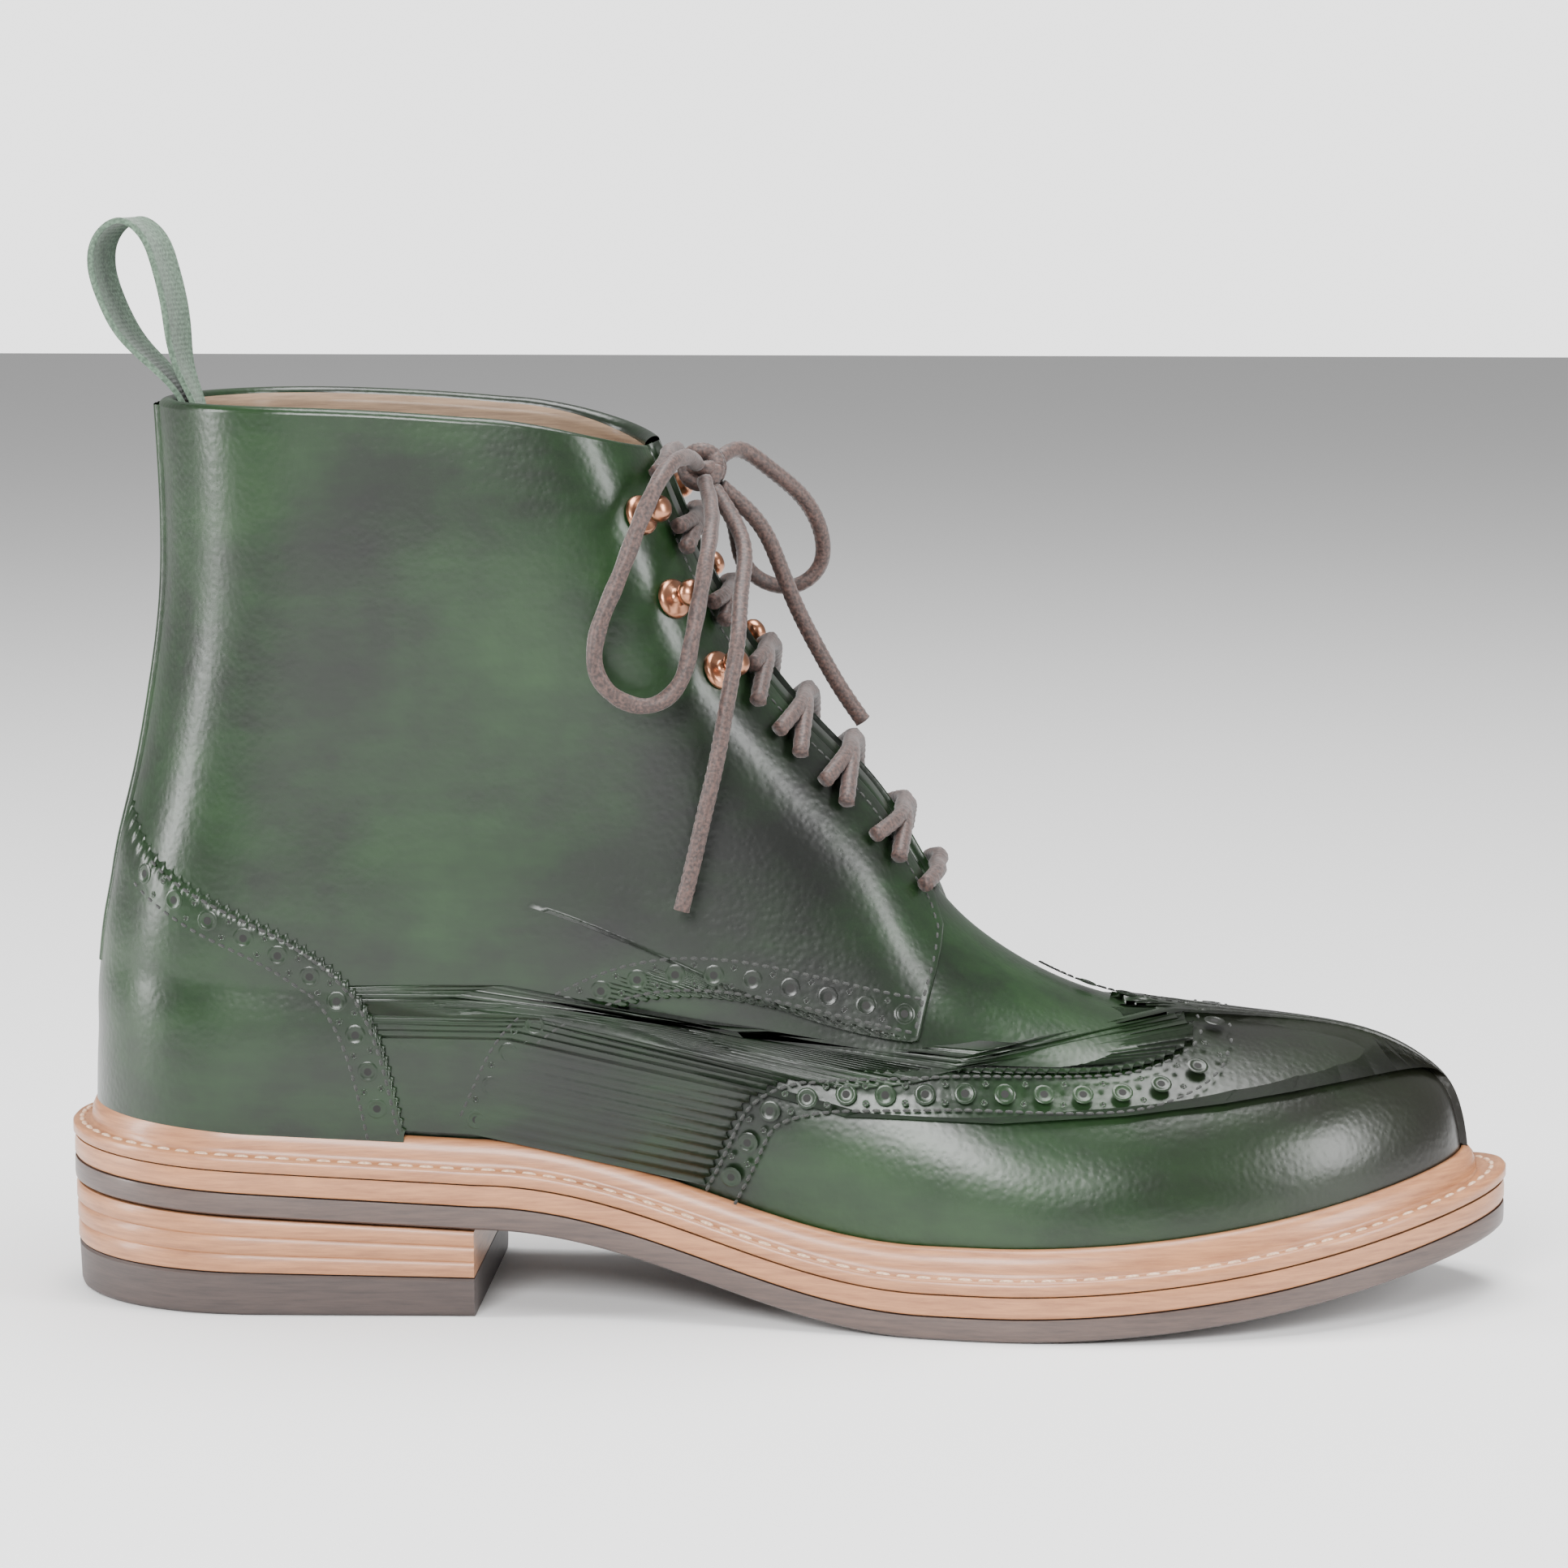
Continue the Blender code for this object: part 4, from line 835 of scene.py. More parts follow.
def layered_leather(name, light, dark, rough, layer=0.0011, coat=0.1):
    """Cut leather edge: fine level layers, darker in patches, lightly waxed."""
    made, tree, shader = principled(name, light, rough, coat=coat)
    links = tree.links
    place = node(tree, "ShaderNodeTexCoord")
    squash = node(tree, "ShaderNodeMapping")
    squash.inputs["Scale"].default_value = (1.0, 1.0, 14.0)
    links.new(place.outputs["Object"], squash.inputs["Vector"])
    fibre = node(tree, "ShaderNodeTexNoise", Scale=90.0, Detail=6.0, Roughness=0.7)
    links.new(squash.outputs["Vector"], fibre.inputs["Vector"])
    colour = ramp(tree, fibre.outputs["Fac"], [(0.30, dark), (0.62, light)])
    links.new(colour, shader.inputs["Base Color"])
    bump = node(tree, "ShaderNodeBump", Strength=0.25, Distance=layer * 0.3)
    links.new(fibre.outputs["Fac"], bump.inputs["Height"])
    links.new(bump.outputs["Normal"], shader.inputs["Normal"])
    return made


def woven(name, light, dark, rough, scale):
    """Thread or webbing: fine crossed ribs of lighter and darker yarn."""
    made, tree, shader = principled(name, light, rough, sheen=0.15)
    links = tree.links
    place = node(tree, "ShaderNodeTexCoord")
    yarn = node(tree, "ShaderNodeTexNoise", Scale=scale, Detail=3.0)
    links.new(place.outputs["Object"], yarn.inputs["Vector"])
    colour = ramp(tree, yarn.outputs["Fac"], [(0.38, dark), (0.66, light)])
    links.new(colour, shader.inputs["Base Color"])
    bump = node(tree, "ShaderNodeBump", Strength=0.5, Distance=0.0002)
    links.new(yarn.outputs["Fac"], bump.inputs["Height"])
    links.new(bump.outputs["Normal"], shader.inputs["Normal"])
    return made


LEATHER = green_leather("green_patina_leather")
LINING = layered_leather("lining_leather_inside", (0.23, 0.15, 0.09), (0.13, 0.08, 0.05), 0.7)
TAN = layered_leather("tan_welt_leather", (0.42, 0.19, 0.085), (0.25, 0.10, 0.045), 0.42, coat=0.25)
STACK = layered_leather("stacked_heel_leather", (0.40, 0.18, 0.08), (0.24, 0.10, 0.045), 0.45, coat=0.2)
DARK = layered_leather("dark_sole_edge", (0.085, 0.055, 0.045), (0.045, 0.030, 0.026), 0.45, coat=0.2)
RUBBER = layered_leather("heel_rubber_dark", (0.060, 0.042, 0.037), (0.035, 0.026, 0.024), 0.6)
CORD = woven("waxed_lace", (0.085, 0.045, 0.036), (0.022, 0.012, 0.010), 0.55, 1500.0)
THREAD = woven("dark_thread", (0.018, 0.020, 0.016), (0.008, 0.009, 0.008), 0.6, 1800.0)
PALE_THREAD = woven("pale_thread", (0.72, 0.50, 0.34), (0.45, 0.28, 0.17), 0.6, 1800.0)
TAPE = woven("ribbed_webbing", (0.105, 0.165, 0.115), (0.045, 0.075, 0.050), 0.8, 1400.0)
METAL, metal_tree, metal_shader = principled("aged_brass", (0.42, 0.20, 0.12), 0.28, metal=1.0)
# Near-black painted shade for the inside of the punched holes, where no real hole is cut
PAINTED_HOLE_SHADE = principled("hole_shade", (0.006, 0.006, 0.005), 0.8)[0]

LEATHER_LIFT = 0.0
QUARTER_LIFT = GAP + QUARTER_THICK
CAP_LIFT = GAP + CAP_THICK
COUNTER_LIFT = GAP + COUNTER_THICK
STRIP_LIFT = GAP + STRIP_THICK + 0.0005
PINK_PITCH = 0.0023
PINK_DEPTH = 0.00055
FOOT_ROW = 0.8 / 14.0


def upper_skin():
    """Vamp and inside wall: the upper's surface on a fine grid, with the
    throat left open, and a wall of the real thickness."""
    rows, half = 150, 170
    heights = np.linspace(0.0, 1.0, rows)
    edges = np.array([column_at(throat_half(h), max(h, THROAT_SHARE)) for h in heights])
    t = (np.arange(half + 1) / half) ** COLUMN_CROWD
    side = edges[:, None] + (1.0 - edges[:, None]) * t[None, :]
    bridge = edges[:, None] * np.linspace(-1.0, 1.0, 21)[None, 1:-1]
    w = np.concatenate([-side[:, ::-1], bridge, side[:, :-1]], 1)
    points = surface(w, heights[:, None] * np.ones_like(w), 0.0)
    columns = w.shape[1]
    faces = np.array(grid(rows, columns, closed=True))
    r = faces[:, 0] // columns
    i = faces[:, 0] % columns
    open_here = (heights[r] > THROAT_SHARE) & (i >= half) & (i < half + 20)
    made = make_object("upper_skin", points, faces[~open_here].tolist(), LEATHER)
    wall = made.modifiers.new("wall", "SOLIDIFY")
    wall.thickness = WALL
    wall.offset = -1.0
    wall.use_even_offset = False
    made.data.materials.append(LINING)
    wall.material_offset = 1
    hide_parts("upper")
    return made


def pinked(line, amount=1.0):
    """Side-view line with a pinked edge: rounded teeth at even steps."""
    length = np.linalg.norm(np.diff(line, axis=0), axis=1).sum()
    count = int(round(length / PINK_PITCH)) * 4 + 1
    base = smooth_resample(line, count)
    teeth = np.abs(np.sin(np.pi * np.arange(count) / 4.0)) - 0.5
    return base, moved_out(base, 0.0) + (moved_out(base, 1.0) - base) * (
        teeth * PINK_DEPTH * 2.0 * amount)[:, None]


def smooth_resample(line, count):
    """Even steps along a finely cut line."""
    return even(line, count)


def rim_rows(line_c, line_h, lift, low):
    """Rows of a thick edge: over its shoulder and down to the leather below."""
    return [(line_c, line_h, lift - 0.0003), (line_c, line_h, low)]


def cap_shell():
    """Wing cap: ribs from the foot up to the pinked wing line."""
    line = smooth_line(WING_LINE, 400)
    base, edge = pinked(line)
    c0, h0 = locate(base[:, 0], base[:, 1])
    c1, h1 = locate(edge[:, 0], edge[:, 1])
    c0[-1] = c1[-1] = 0.0
    c0 = np.maximum.accumulate(c0[::-1])[::-1]
    rows = 34
    v = np.linspace(0.0, 1.0, rows)[:, None] ** 0.9
    c = c0[None] + (c1 - c0)[None] * v ** 6
    h = FOOT_ROW + (h1[None] - FOOT_ROW) * v
    lift = np.full_like(c, CAP_LIFT)
    lift[-1] -= 0.0004
    c = np.concatenate([c, c[-1:]])
    h = np.concatenate([h, h[-1:]])
    lift = np.concatenate([lift, np.full_like(lift[-1:], 0.0)])
    w = np.concatenate([-c, c[:, ::-1][:, 1:]], 1)
    hh = np.concatenate([h, h[:, ::-1][:, 1:]], 1)
    ll = np.concatenate([lift, lift[:, ::-1][:, 1:]], 1)
    made = make_object("wing_cap_skin", surface(w, hh, ll), grid(len(c), w.shape[1]), LEATHER)
    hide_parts("wing_cap")
    return base


def counter_shell():
    """Heel counter: ribs from the foot up to its pinked line, round the back."""
    line = smooth_line(COUNTER_LINE, 300)
    tail = line[-1] + np.array([[-0.004, 0.0032]]) * np.linspace(0.2, 4.5, 12)[:, None]
    line = np.concatenate([line, tail])
    base, edge = pinked(line)
    inside = base[:, 0] > back_line(base[:, 1]) + 0.0004
    base, edge = base[inside], edge[inside]
    c1, h1 = locate(edge[:, 0], edge[:, 1])
    c0, h0 = locate(base[:, 0], base[:, 1])
    c0 = np.maximum.accumulate(c0)
    c0 = c0 + (1.0 - c0[-1]) * (np.arange(len(c0)) / (len(c0) - 1.0)) ** 8
    rows = 24
    v = np.linspace(0.0, 1.0, rows)[:, None]
    c = c0[None] + (c1 - c0)[None] * v ** 6 * (np.arange(len(c0)) < len(c0) - 1)
    h = FOOT_ROW + (h1[None] - FOOT_ROW) * v
    lift = np.full_like(c, COUNTER_LIFT)
    lift[-1] -= 0.0005
    c = np.concatenate([c, c[-1:]])
    h = np.concatenate([h, h[-1:]])
    lift = np.concatenate([lift, np.full_like(lift[-1:], 0.0)])
    w = np.concatenate([c, (2.0 - c)[:, ::-1][:, 1:]], 1)
    hh = np.concatenate([h, h[:, ::-1][:, 1:]], 1)
    ll = np.concatenate([lift, lift[:, ::-1][:, 1:]], 1)
    made = make_object("heel_counter_skin", surface(w, hh, ll), grid(len(c), w.shape[1], flip=False),
                       LEATHER)
    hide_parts("heel_counter")
    return base


def quarter_line():
    """Front and lower edge of a quarter, from the collar down the facing and
    back along its lower curve to the foot."""
    heights = np.linspace(1.0, THROAT_SHARE, 90)
    gate = np.array([column_at(throat_half(h), h) for h in heights])
    gx, gz, front = side_view(gate, heights)
    facing = smooth_line(FACING_LINE, 60)
    under = smooth_line(QUARTER_LINE, 300)
    return np.stack([gx, gz], -1), facing, under


def quarter_shell(name, side):
    """Quarter: ribs from its front and lower edge to a line that runs back
    along the collar and down the back seam. Teeth fade out near the edge."""
    gate, facing, under = quarter_line()
    corner = np.concatenate([gate, facing, under[:1]])
    plain = even(corner, 150)
    base, teeth = pinked(under)
    smooth_edge = np.concatenate([plain, base[1:]])
    edge = np.concatenate([plain, teeth[1:]])
    c0, h0 = locate(smooth_edge[:, 0], smooth_edge[:, 1])
    c1, h1 = locate(edge[:, 0], edge[:, 1])
    h0[0] = h1[0] = 1.0
    count = len(edge)
    t = np.arange(count) / (count - 1.0)
    turn = 0.36
    collar_c = c0[0] + (1.0 - c0[0]) * np.clip(t / turn, 0.0, 1.0)
    back_h = 1.0 - (1.0 - FOOT_ROW) * np.clip((t - turn) / (1.0 - turn), 0.0, 1.0) ** 1.2
    rows = 80
    v = (np.linspace(0.0, 1.0, rows) ** 1.4)[:, None]
    fade = (1.0 - v) ** 30
    c = c0[None] + (collar_c - c0)[None] * v + (c1 - c0)[None] * fade
    h = h0[None] + (back_h - h0)[None] * v + (h1 - h0)[None] * fade
    lift = np.full_like(c, QUARTER_LIFT)
    lift[0] -= 0.0004
    c = np.concatenate([c[:1], c])
    h = np.concatenate([h[:1], h])
    lift = np.concatenate([np.full_like(lift[:1], 0.0), lift])
    made = make_object(name, surface(c * side, h, lift), grid(len(c), count, flip=side < 0),
                       LEATHER)
    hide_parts("quarter_lateral" if side < 0 else "quarter_medial")
    return plain, base


def strip_shell():
    """Back strip: a narrow band up the back seam, thicker than the quarters."""
    low = 0.40
    heights = np.linspace(low, 1.0, 80)
    half = np.array([1.0 - np.interp(STRIP_HALF, *back_half(h)) for h in heights])
    u = np.linspace(-1.0, 1.0, 25)
    w = 1.0 + half[:, None] * u[None]
    lift = np.full_like(w, STRIP_LIFT)
    lift[:, 0] = lift[:, -1] = 0.0
    lift[:, 1] -= 0.0005
    lift[:, -2] -= 0.0005
    made = make_object("back_strip_skin", surface(w, heights[:, None], lift),
                       grid(len(heights), len(u)), LEATHER)
    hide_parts("back_strip")


def back_half(h):
    """Half widths near the back of the upper and the columns they lie at."""
    columns = np.linspace(1.0, 0.7, 80)
    spots = skin(columns, np.full_like(columns, h))
    return np.maximum.accumulate(spots[:, 1] - middle(spots[:, 0], spots[:, 2])), columns


def tongue_skin():
    """Tongue: lies inside the facings and swells out between them."""
    rows = 90
    heights = np.linspace(TONGUE_FOOT_SHARE, TONGUE_TOP_SHARE, rows)
    spread = np.linspace(-1.0, 1.0, 61)
    inside = -(WALL + TONGUE_CLEAR + TONGUE_WALL)
    points = []
    for h in heights:
        edge = column_at(TONGUE_HALF, max(h, 0.45))
        gate = column_at(throat_half(h), max(h, THROAT_SHARE))
        w = spread * edge
        open_up = ease((h - THROAT_SHARE - 0.015) / 0.06) * (
            1.0 - ease((np.abs(w) / gate - 0.35) / 0.5))
        points.append(surface(w, h, inside + (WALL + TONGUE_CLEAR) * open_up + TONGUE_WALL))
    made = make_object("tongue_skin", np.array(points), grid(rows, len(spread)), LEATHER)
    wall = made.modifiers.new("wall", "SOLIDIFY")
    wall.thickness = TONGUE_WALL
    wall.offset = -1.0
    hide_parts("tongue")


def collar_rim():
    """Collar rim: a rolled edge that joins the quarters to the lining."""
    count = 420
    edge = column_at(throat_half(1.0), 1.0)
    w = np.linspace(edge, 2.0 - edge, count)
    outer = QUARTER_LIFT
    inner = -WALL
    half = (outer - inner) / 2.0
    turn = np.linspace(0.0, np.pi, 12)
    mid = (outer + inner) / 2.0
    rows = []
    top = skin(w, 1.0)
    out = normal(w, np.full_like(w, 0.995))
    for angle in turn:
        lift = mid + half * math.cos(angle)
        rows.append(top + out * lift + np.array([0.0, 0.0, half * 0.75 * math.sin(angle)]))
    make_object("collar_rim", np.array(rows), grid(len(rows), count), LEATHER)


def sole_ring(inset, height, count=180):
    """Outline of the sole at an inset, run all round, with its height."""
    angle = np.linspace(0.0, np.pi, count)
    x = -np.cos(angle) * (SOLE_LENGTH / 2.0 - inset)
    outer, inner = sole_edge(x, inset)
    mid = (outer[0] + inner[0]) / 2.0
    outer[0] = inner[0] = (outer[0] + inner[0]) / 2.0
    outer[-1] = inner[-1] = (outer[-1] + inner[-1]) / 2.0
    ring_x = np.concatenate([x, x[::-1][1:-1]])
    ring_y = np.concatenate([outer, inner[::-1][1:-1]])
    return np.stack([ring_x, ring_y, height(ring_x)], -1)


def sole_slab(name, levels, finish, node_name, count=180):
    """Slab of the sole: rings stacked from levels, closed by a lid each side."""
    rings = [sole_ring(inset, height, count) for inset, height in levels]
    size = len(rings[0])
    faces = grid(len(rings), size, closed=True)
    for base, up in ((0, False), ((len(rings) - 1) * size, True)):
        strip = [[base, base + 1, base + size - 1]]
        strip += [[base + i, base + i + 1, base + size - i - 1, base + size - i]
                  for i in range(1, count - 2)]
        strip.append([base + count - 2, base + count - 1, base + count])
        faces += [face if up else face[::-1] for face in strip]
    made = make_object(name, np.array(rings), faces, finish)
    made.data.set_sharp_from_angle(angle=math.radians(40.0))
    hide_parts(node_name)
    return made


def heel_slab(name, levels, finish, node_name):
    """Slab of the heel: rings from the back to a straight breast."""
    count = 90
    breast = float(along(BREAST_SHARE))
    rings = []
    for inset, height in levels:
        angle = np.linspace(0.0, np.pi / 2.0, count)
        x = breast - (breast + SOLE_LENGTH / 2.0 - inset) * np.cos(angle)
        outer, inner = sole_edge(x, inset)
        outer[0] = inner[0] = (outer[0] + inner[0]) / 2.0
        ring_x = np.concatenate([x, x[::-1][:-1]])
        ring_y = np.concatenate([outer, inner[::-1][:-1]])
        rings.append(np.stack([ring_x, ring_y, height(ring_x)], -1))
    size = len(rings[0])
    faces = grid(len(rings), size, closed=True)
    for base, up in ((0, False), ((len(rings) - 1) * size, True)):
        strip = [[base, base + 1, base + size - 1]]
        strip += [[base + i, base + i + 1, base + size - i - 1, base + size - i]
                  for i in range(1, count - 1)]
        faces += [face if up else face[::-1] for face in strip]
    made = make_object(name, np.array(rings), faces, finish)
    made.data.set_sharp_from_angle(angle=math.radians(40.0))
    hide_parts(node_name)


def top_lift_top(x):
    """Top of the rubber lift, a little lower at the breast."""
    s = np.clip(share(x) / BREAST_SHARE, 0.0, 1.0)
    return TOP_LIFT * (1.0 - (1.0 - TOP_LIFT_FRONT_SHARE) * s)


def sole_pieces():
    """Outsole, midsole, heel stack and rubber lift with eased edges."""
    soft = SOLE_EDGE_ROUND
    sole_slab("outsole_slab", [
        (soft * 2.2, sole_under),
        (soft * 1.2, lambda x: sole_under(x) + soft * 0.25),
        (soft * 0.5, lambda x: sole_under(x) + soft * 0.8),
        (GAP, lambda x: sole_under(x) + soft * 1.8),
        (GAP, lambda x: sole_under(x) + OUTSOLE - soft),
        (soft * 0.5, lambda x: sole_under(x) + OUTSOLE - GAP),
    ], DARK, "outsole")
    sole_slab("midsole_slab", [
        (soft * 0.9, lambda x: midsole_under(x) - GAP),
        (GAP, lambda x: midsole_under(x) + soft * 0.6),
        (GAP, lambda x: midsole_under(x) + MIDSOLE - soft * 0.5),
        (soft * 0.6, lambda x: feather(x) - GAP),
    ], TAN, "midsole")
    layers = 3
    levels = []
    for k in range(layers):
        low = k / layers
        high = (k + 1) / layers

        def at(t):
            def height(x):
                bottom = top_lift_top(x) + GAP
                return bottom + (sole_under(x) - GAP - bottom) * t
            return height
        inset = HEEL_TAPER * (0.6 - 0.3 * low)
        levels += [(inset + 0.0004, at(low + 0.005)), (inset, at(low + 0.06)),
                   (inset, at(high - 0.06)), (inset + 0.0004, at(high - 0.005))]
    heel_slab("heel_stack_slab", levels, STACK, "heel_stack")
    heel_slab("heel_lift_slab", [
        (HEEL_TAPER + soft * 1.6, lambda x: np.zeros_like(x)),
        (HEEL_TAPER + soft * 0.4, lambda x: np.zeros_like(x) + soft * 0.8),
        (HEEL_TAPER, lambda x: np.zeros_like(x) + soft * 2.0),
        (HEEL_TAPER * 0.75, lambda x: top_lift_top(x) - soft * 0.6),
        (HEEL_TAPER * 0.75 + soft * 0.5, top_lift_top),
    ], RUBBER, "heel_top_lift")


def welt_rings(count=260):
    """Columns round the foot, and the outer rim and foot line at each."""
    t = (np.arange(count + 1) / count) ** COLUMN_CROWD
    w = np.concatenate([-t[::-1], t[1:-1]])
    c = np.abs(w)
    near = (1.0 + np.cos(np.pi * c)) / 2.0
    x = BACK_REACH * near + (SOLE_LENGTH - BACK_REACH) * near ** 4 - SOLE_LENGTH / 2.0
    outer, inner = sole_edge(x, 0.0)
    y = np.where(w < 0.0, outer, inner)
    tip = (c < 1e-9) | (c > 1.0 - 1e-9)
    y = np.where(tip, (outer + inner) / 2.0, y)
    rim = np.stack([x, y, feather(x)], -1)
    foot = surface(w, 0.0, GAP)
    foot[:, 2] = feather(foot[:, 0])
    bead = surface(w, BEAD_ROW, GAP)
    out = rim[:, :2] - foot[:, :2]
    out /= np.linalg.norm(out, axis=1, keepdims=True)
    return w, rim, foot, bead, out


def welt_piece():
    """Welt: a flat stitched strip with a groove and the storm bead inside."""
    w, rim, foot, bead, out = welt_rings()
    up = np.array([0.0, 0.0, 1.0])
    flat_out = np.concatenate([out, np.zeros((len(out), 1))], 1)
    rings = [rim - flat_out * 0.0006, rim + up * 0.0006, rim + up * (WELT - 0.0006),
             rim + up * WELT - flat_out * 0.0006]
    for reach, drop in ((1.15, 1.0), (1.02, 0.93), (0.98, 0.72), (0.90, 0.45), (0.72, 0.22),
                        (0.48, 0.06), (0.22, 0.0)):
        ring = bead.copy()
        ring[:, :2] += out * BEAD_THICK * reach
        ring[:, 2] -= BEAD_RISE * drop
        if drop == 1.0:
            ring[:, 2] = feather(ring[:, 0]) + WELT
        rings.append(ring)
    rings += [bead, foot]
    made = make_object("welt_strip", np.array(rings), grid(len(rings), len(w), closed=True), TAN)
    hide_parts("welt")


CAPSULE = None


def stitch_shape(length, width, height, sides=6):
    """One stitch: a short rounded ridge that dips into the leather at its ends."""
    along_x = np.array([-0.5, -0.36, -0.12, 0.12, 0.36, 0.5]) * length
    size = np.array([0.25, 0.85, 1.0, 1.0, 0.85, 0.25])
    turn = np.arange(sides) * 2.0 * np.pi / sides
    points = np.stack([
        np.broadcast_to(along_x[:, None], (len(along_x), sides)),
        size[:, None] * width / 2.0 * np.cos(turn)[None],
        size[:, None] * height * np.sin(turn)[None] + (size[:, None] - 1.0) * height * 0.7], -1)
    faces = grid(len(along_x), sides, closed=True)
    faces.append(list(range(sides))[::-1])
    faces.append(list(range((len(along_x) - 1) * sides, len(along_x) * sides)))
    return points.reshape(-1, 3), faces


def welt_stitches():
    """Row of pale stitches round the flat of the welt."""
    w, rim, foot, bead, out = welt_rings()
    inner = bead.copy()
    inner[:, :2] += out * BEAD_THICK
    line = rim * 0.52 + inner * 0.48
    line[:, 2] = feather(line[:, 0]) + WELT
    line = np.concatenate([line, line[:1]])
    count = int(np.linalg.norm(np.diff(line, axis=0), axis=1).sum() / 0.0044)
    spots = even(line, count + 1)[:-1]
    ahead = np.roll(spots, -1, axis=0) - np.roll(spots, 1, axis=0)
    ahead /= np.linalg.norm(ahead, axis=1, keepdims=True)
    up = np.tile([0.0, 0.0, 1.0], (count, 1))
    up = up - ahead * np.sum(ahead * up, axis=1, keepdims=True)
    up /= np.linalg.norm(up, axis=1, keepdims=True)
    points, faces = repeated(*stitch_shape(0.0034, 0.0012, 0.00045), spots, ahead, up)
    make_object("welt_stitches", points, faces, PALE_THREAD)


def on_side(line, side, lift):
    """Places of a side-view line on one side, with their outward normals."""
    c, h = locate(line[:, 0], line[:, 1])
    w = c * side
    return surface(w, h, lift), normal(w, h)


def stitch_row(line, side, lift, pitch, shape):
    """Stitches at even steps along a side-view line."""
    length = np.linalg.norm(np.diff(line, axis=0), axis=1).sum()
    spots = even(line, max(3, int(length / pitch)))
    places, out = on_side(spots, side, lift)
    ahead = np.gradient(places, axis=0)
    return repeated(*shape, places, ahead, out)


def hole_shape(radius, sides=14):
    """Punched hole: a raised lip round a dish, whose flat middle face takes the painted shade of the hole's
    inside.
    """
    rings = np.array([(1.35, -0.02), (1.12, 0.16), (0.96, 0.10), (0.86, 0.02), (0.5, 0.015)])
    turn = np.arange(sides) * 2.0 * np.pi / sides
    points = np.stack([rings[:, 0:1] * radius * np.cos(turn)[None],
                       rings[:, 0:1] * radius * np.sin(turn)[None],
                       np.broadcast_to(rings[:, 1:2] * 0.001, (len(rings), sides))], -1)
    faces = grid(len(rings), sides, closed=True, flip=False)
    faces.append(list(range((len(rings) - 1) * sides, len(rings) * sides)))
    return points.reshape(-1, 3), faces


def hole_row(lines, name):
    """Brogue holes: one big hole, then a pair of small ones, and so on, each with painted shade in its middle.
    """
    parts_lip = []
    for line, side, lift, big, step, twin in lines:
        length = np.linalg.norm(np.diff(line, axis=0), axis=1).sum()
        count = max(2, int(round(length / step)))
        spots = even(line, 2 * count + 1)
        places, out = on_side(spots, side, lift)
        ahead = np.gradient(places, axis=0)
        parts_lip.append(repeated(*hole_shape(big / 2.0), places[0::2], ahead[0::2], out[0::2]))
        mids = spots[1::2]
        step_line = np.gradient(spots, axis=0)[1::2]
        step_line /= np.linalg.norm(step_line, axis=1, keepdims=True)
        beside = np.stack([-step_line[:, 1], step_line[:, 0]], -1)
        for way in (-1.0, 1.0):
            near, near_out = on_side(mids + beside * twin * way, side, lift)
            parts_lip.append(repeated(*hole_shape(big * 0.17, 8), near, ahead[1::2], near_out))
    points, faces = joined(parts_lip)
    made = make_object(name, points, faces, LEATHER)
    # The middle face of every hole (more than four corners) gets the flat painted shade, standing for the shadow
    # down inside the hole
    made.data.materials.append(PAINTED_HOLE_SHADE)
    spots = np.array([len(face) for face in faces])
    index = np.zeros(len(faces), int)
    index[spots > 4] = 1
    made.data.polygons.foreach_set("material_index", index)
    return made


upper_skin()
cap_line = cap_shell()
counter_line = counter_shell()
quarter_parts = [quarter_shell("quarter_skin_lateral", -1.0), quarter_shell("quarter_skin_medial", 1.0)]
strip_shell()
tongue_skin()
collar_rim()
sole_pieces()
welt_piece()
welt_stitches()


def decoration():
    """Stitch rows and brogue holes along the edges of the overlays."""
    shape = stitch_shape(0.0017, 0.0007, 0.00025)
    stitches = []
    holes = []
    gate, facing, under = quarter_line()
    front = np.concatenate([gate, facing, under[:1]])
    for side in (-1.0, 1.0):
        wing = cap_line[::1]
        for inset in (0.0013, 0.0080):
            stitches.append(stitch_row(moved_out(wing, -inset), side, CAP_LIFT, 0.0021, shape))
        holes.append((moved_out(wing, -0.0046)[8:-10], side, CAP_LIFT, 0.0034, 0.0083, 0.0019))
        heel = counter_line
        keep = heel[:, 0] > back_line(heel[:, 1]) + 0.012
        heel = heel[keep]
        for inset in (0.0013, 0.0080):
            stitches.append(stitch_row(moved_out(heel, inset), side, COUNTER_LIFT, 0.0021, shape))
        holes.append((moved_out(heel, 0.0046)[10:], side, COUNTER_LIFT, 0.0034, 0.0083, 0.0019))
        low = under[under[:, 1] > feather(under[:, 0]) + 0.012]
        for inset in (0.0013, 0.0080):
            stitches.append(stitch_row(moved_out(low, -inset)[6:], side, QUARTER_LIFT, 0.0021, shape))
        holes.append((moved_out(low, -0.0046)[10:], side, QUARTER_LIFT, 0.0034, 0.0080, 0.0019))
        stitches.append(stitch_row(moved_out(front, -0.0014)[4:-2], side, QUARTER_LIFT, 0.0021, shape))
    points, faces = joined(stitches)
    make_object("pattern_stitches", points, faces, THREAD)
    hole_row(holes, "brogue_holes")


decoration()


def side_points(rows, side, lift):
    """Places on one side from rows of along and rise shares."""
    spots, outs = [], []
    for row in rows:
        x, z = side_place(row)
        spot, out = side_spot(x, z, side, lift)
        spots.append(spot)
        outs.append(out)
    return np.array(spots), np.array(outs)


def hook_profile():
    """Outline of a speed hook, with its radius and its height in metres."""
    rows = np.array([
        (1.00, 0.00), (1.00, 0.07), (0.96, 0.12), (0.80, 0.17), (0.52, 0.21), (0.38, 0.28),
        (0.35, 0.40), (0.45, 0.48), (0.62, 0.55), (0.69, 0.65), (0.67, 0.78), (0.56, 0.90),
        (0.36, 0.97), (0.12, 1.0)])
    return rows * np.array([HOOK_BASE / 2.0, HOOK_HEIGHT])


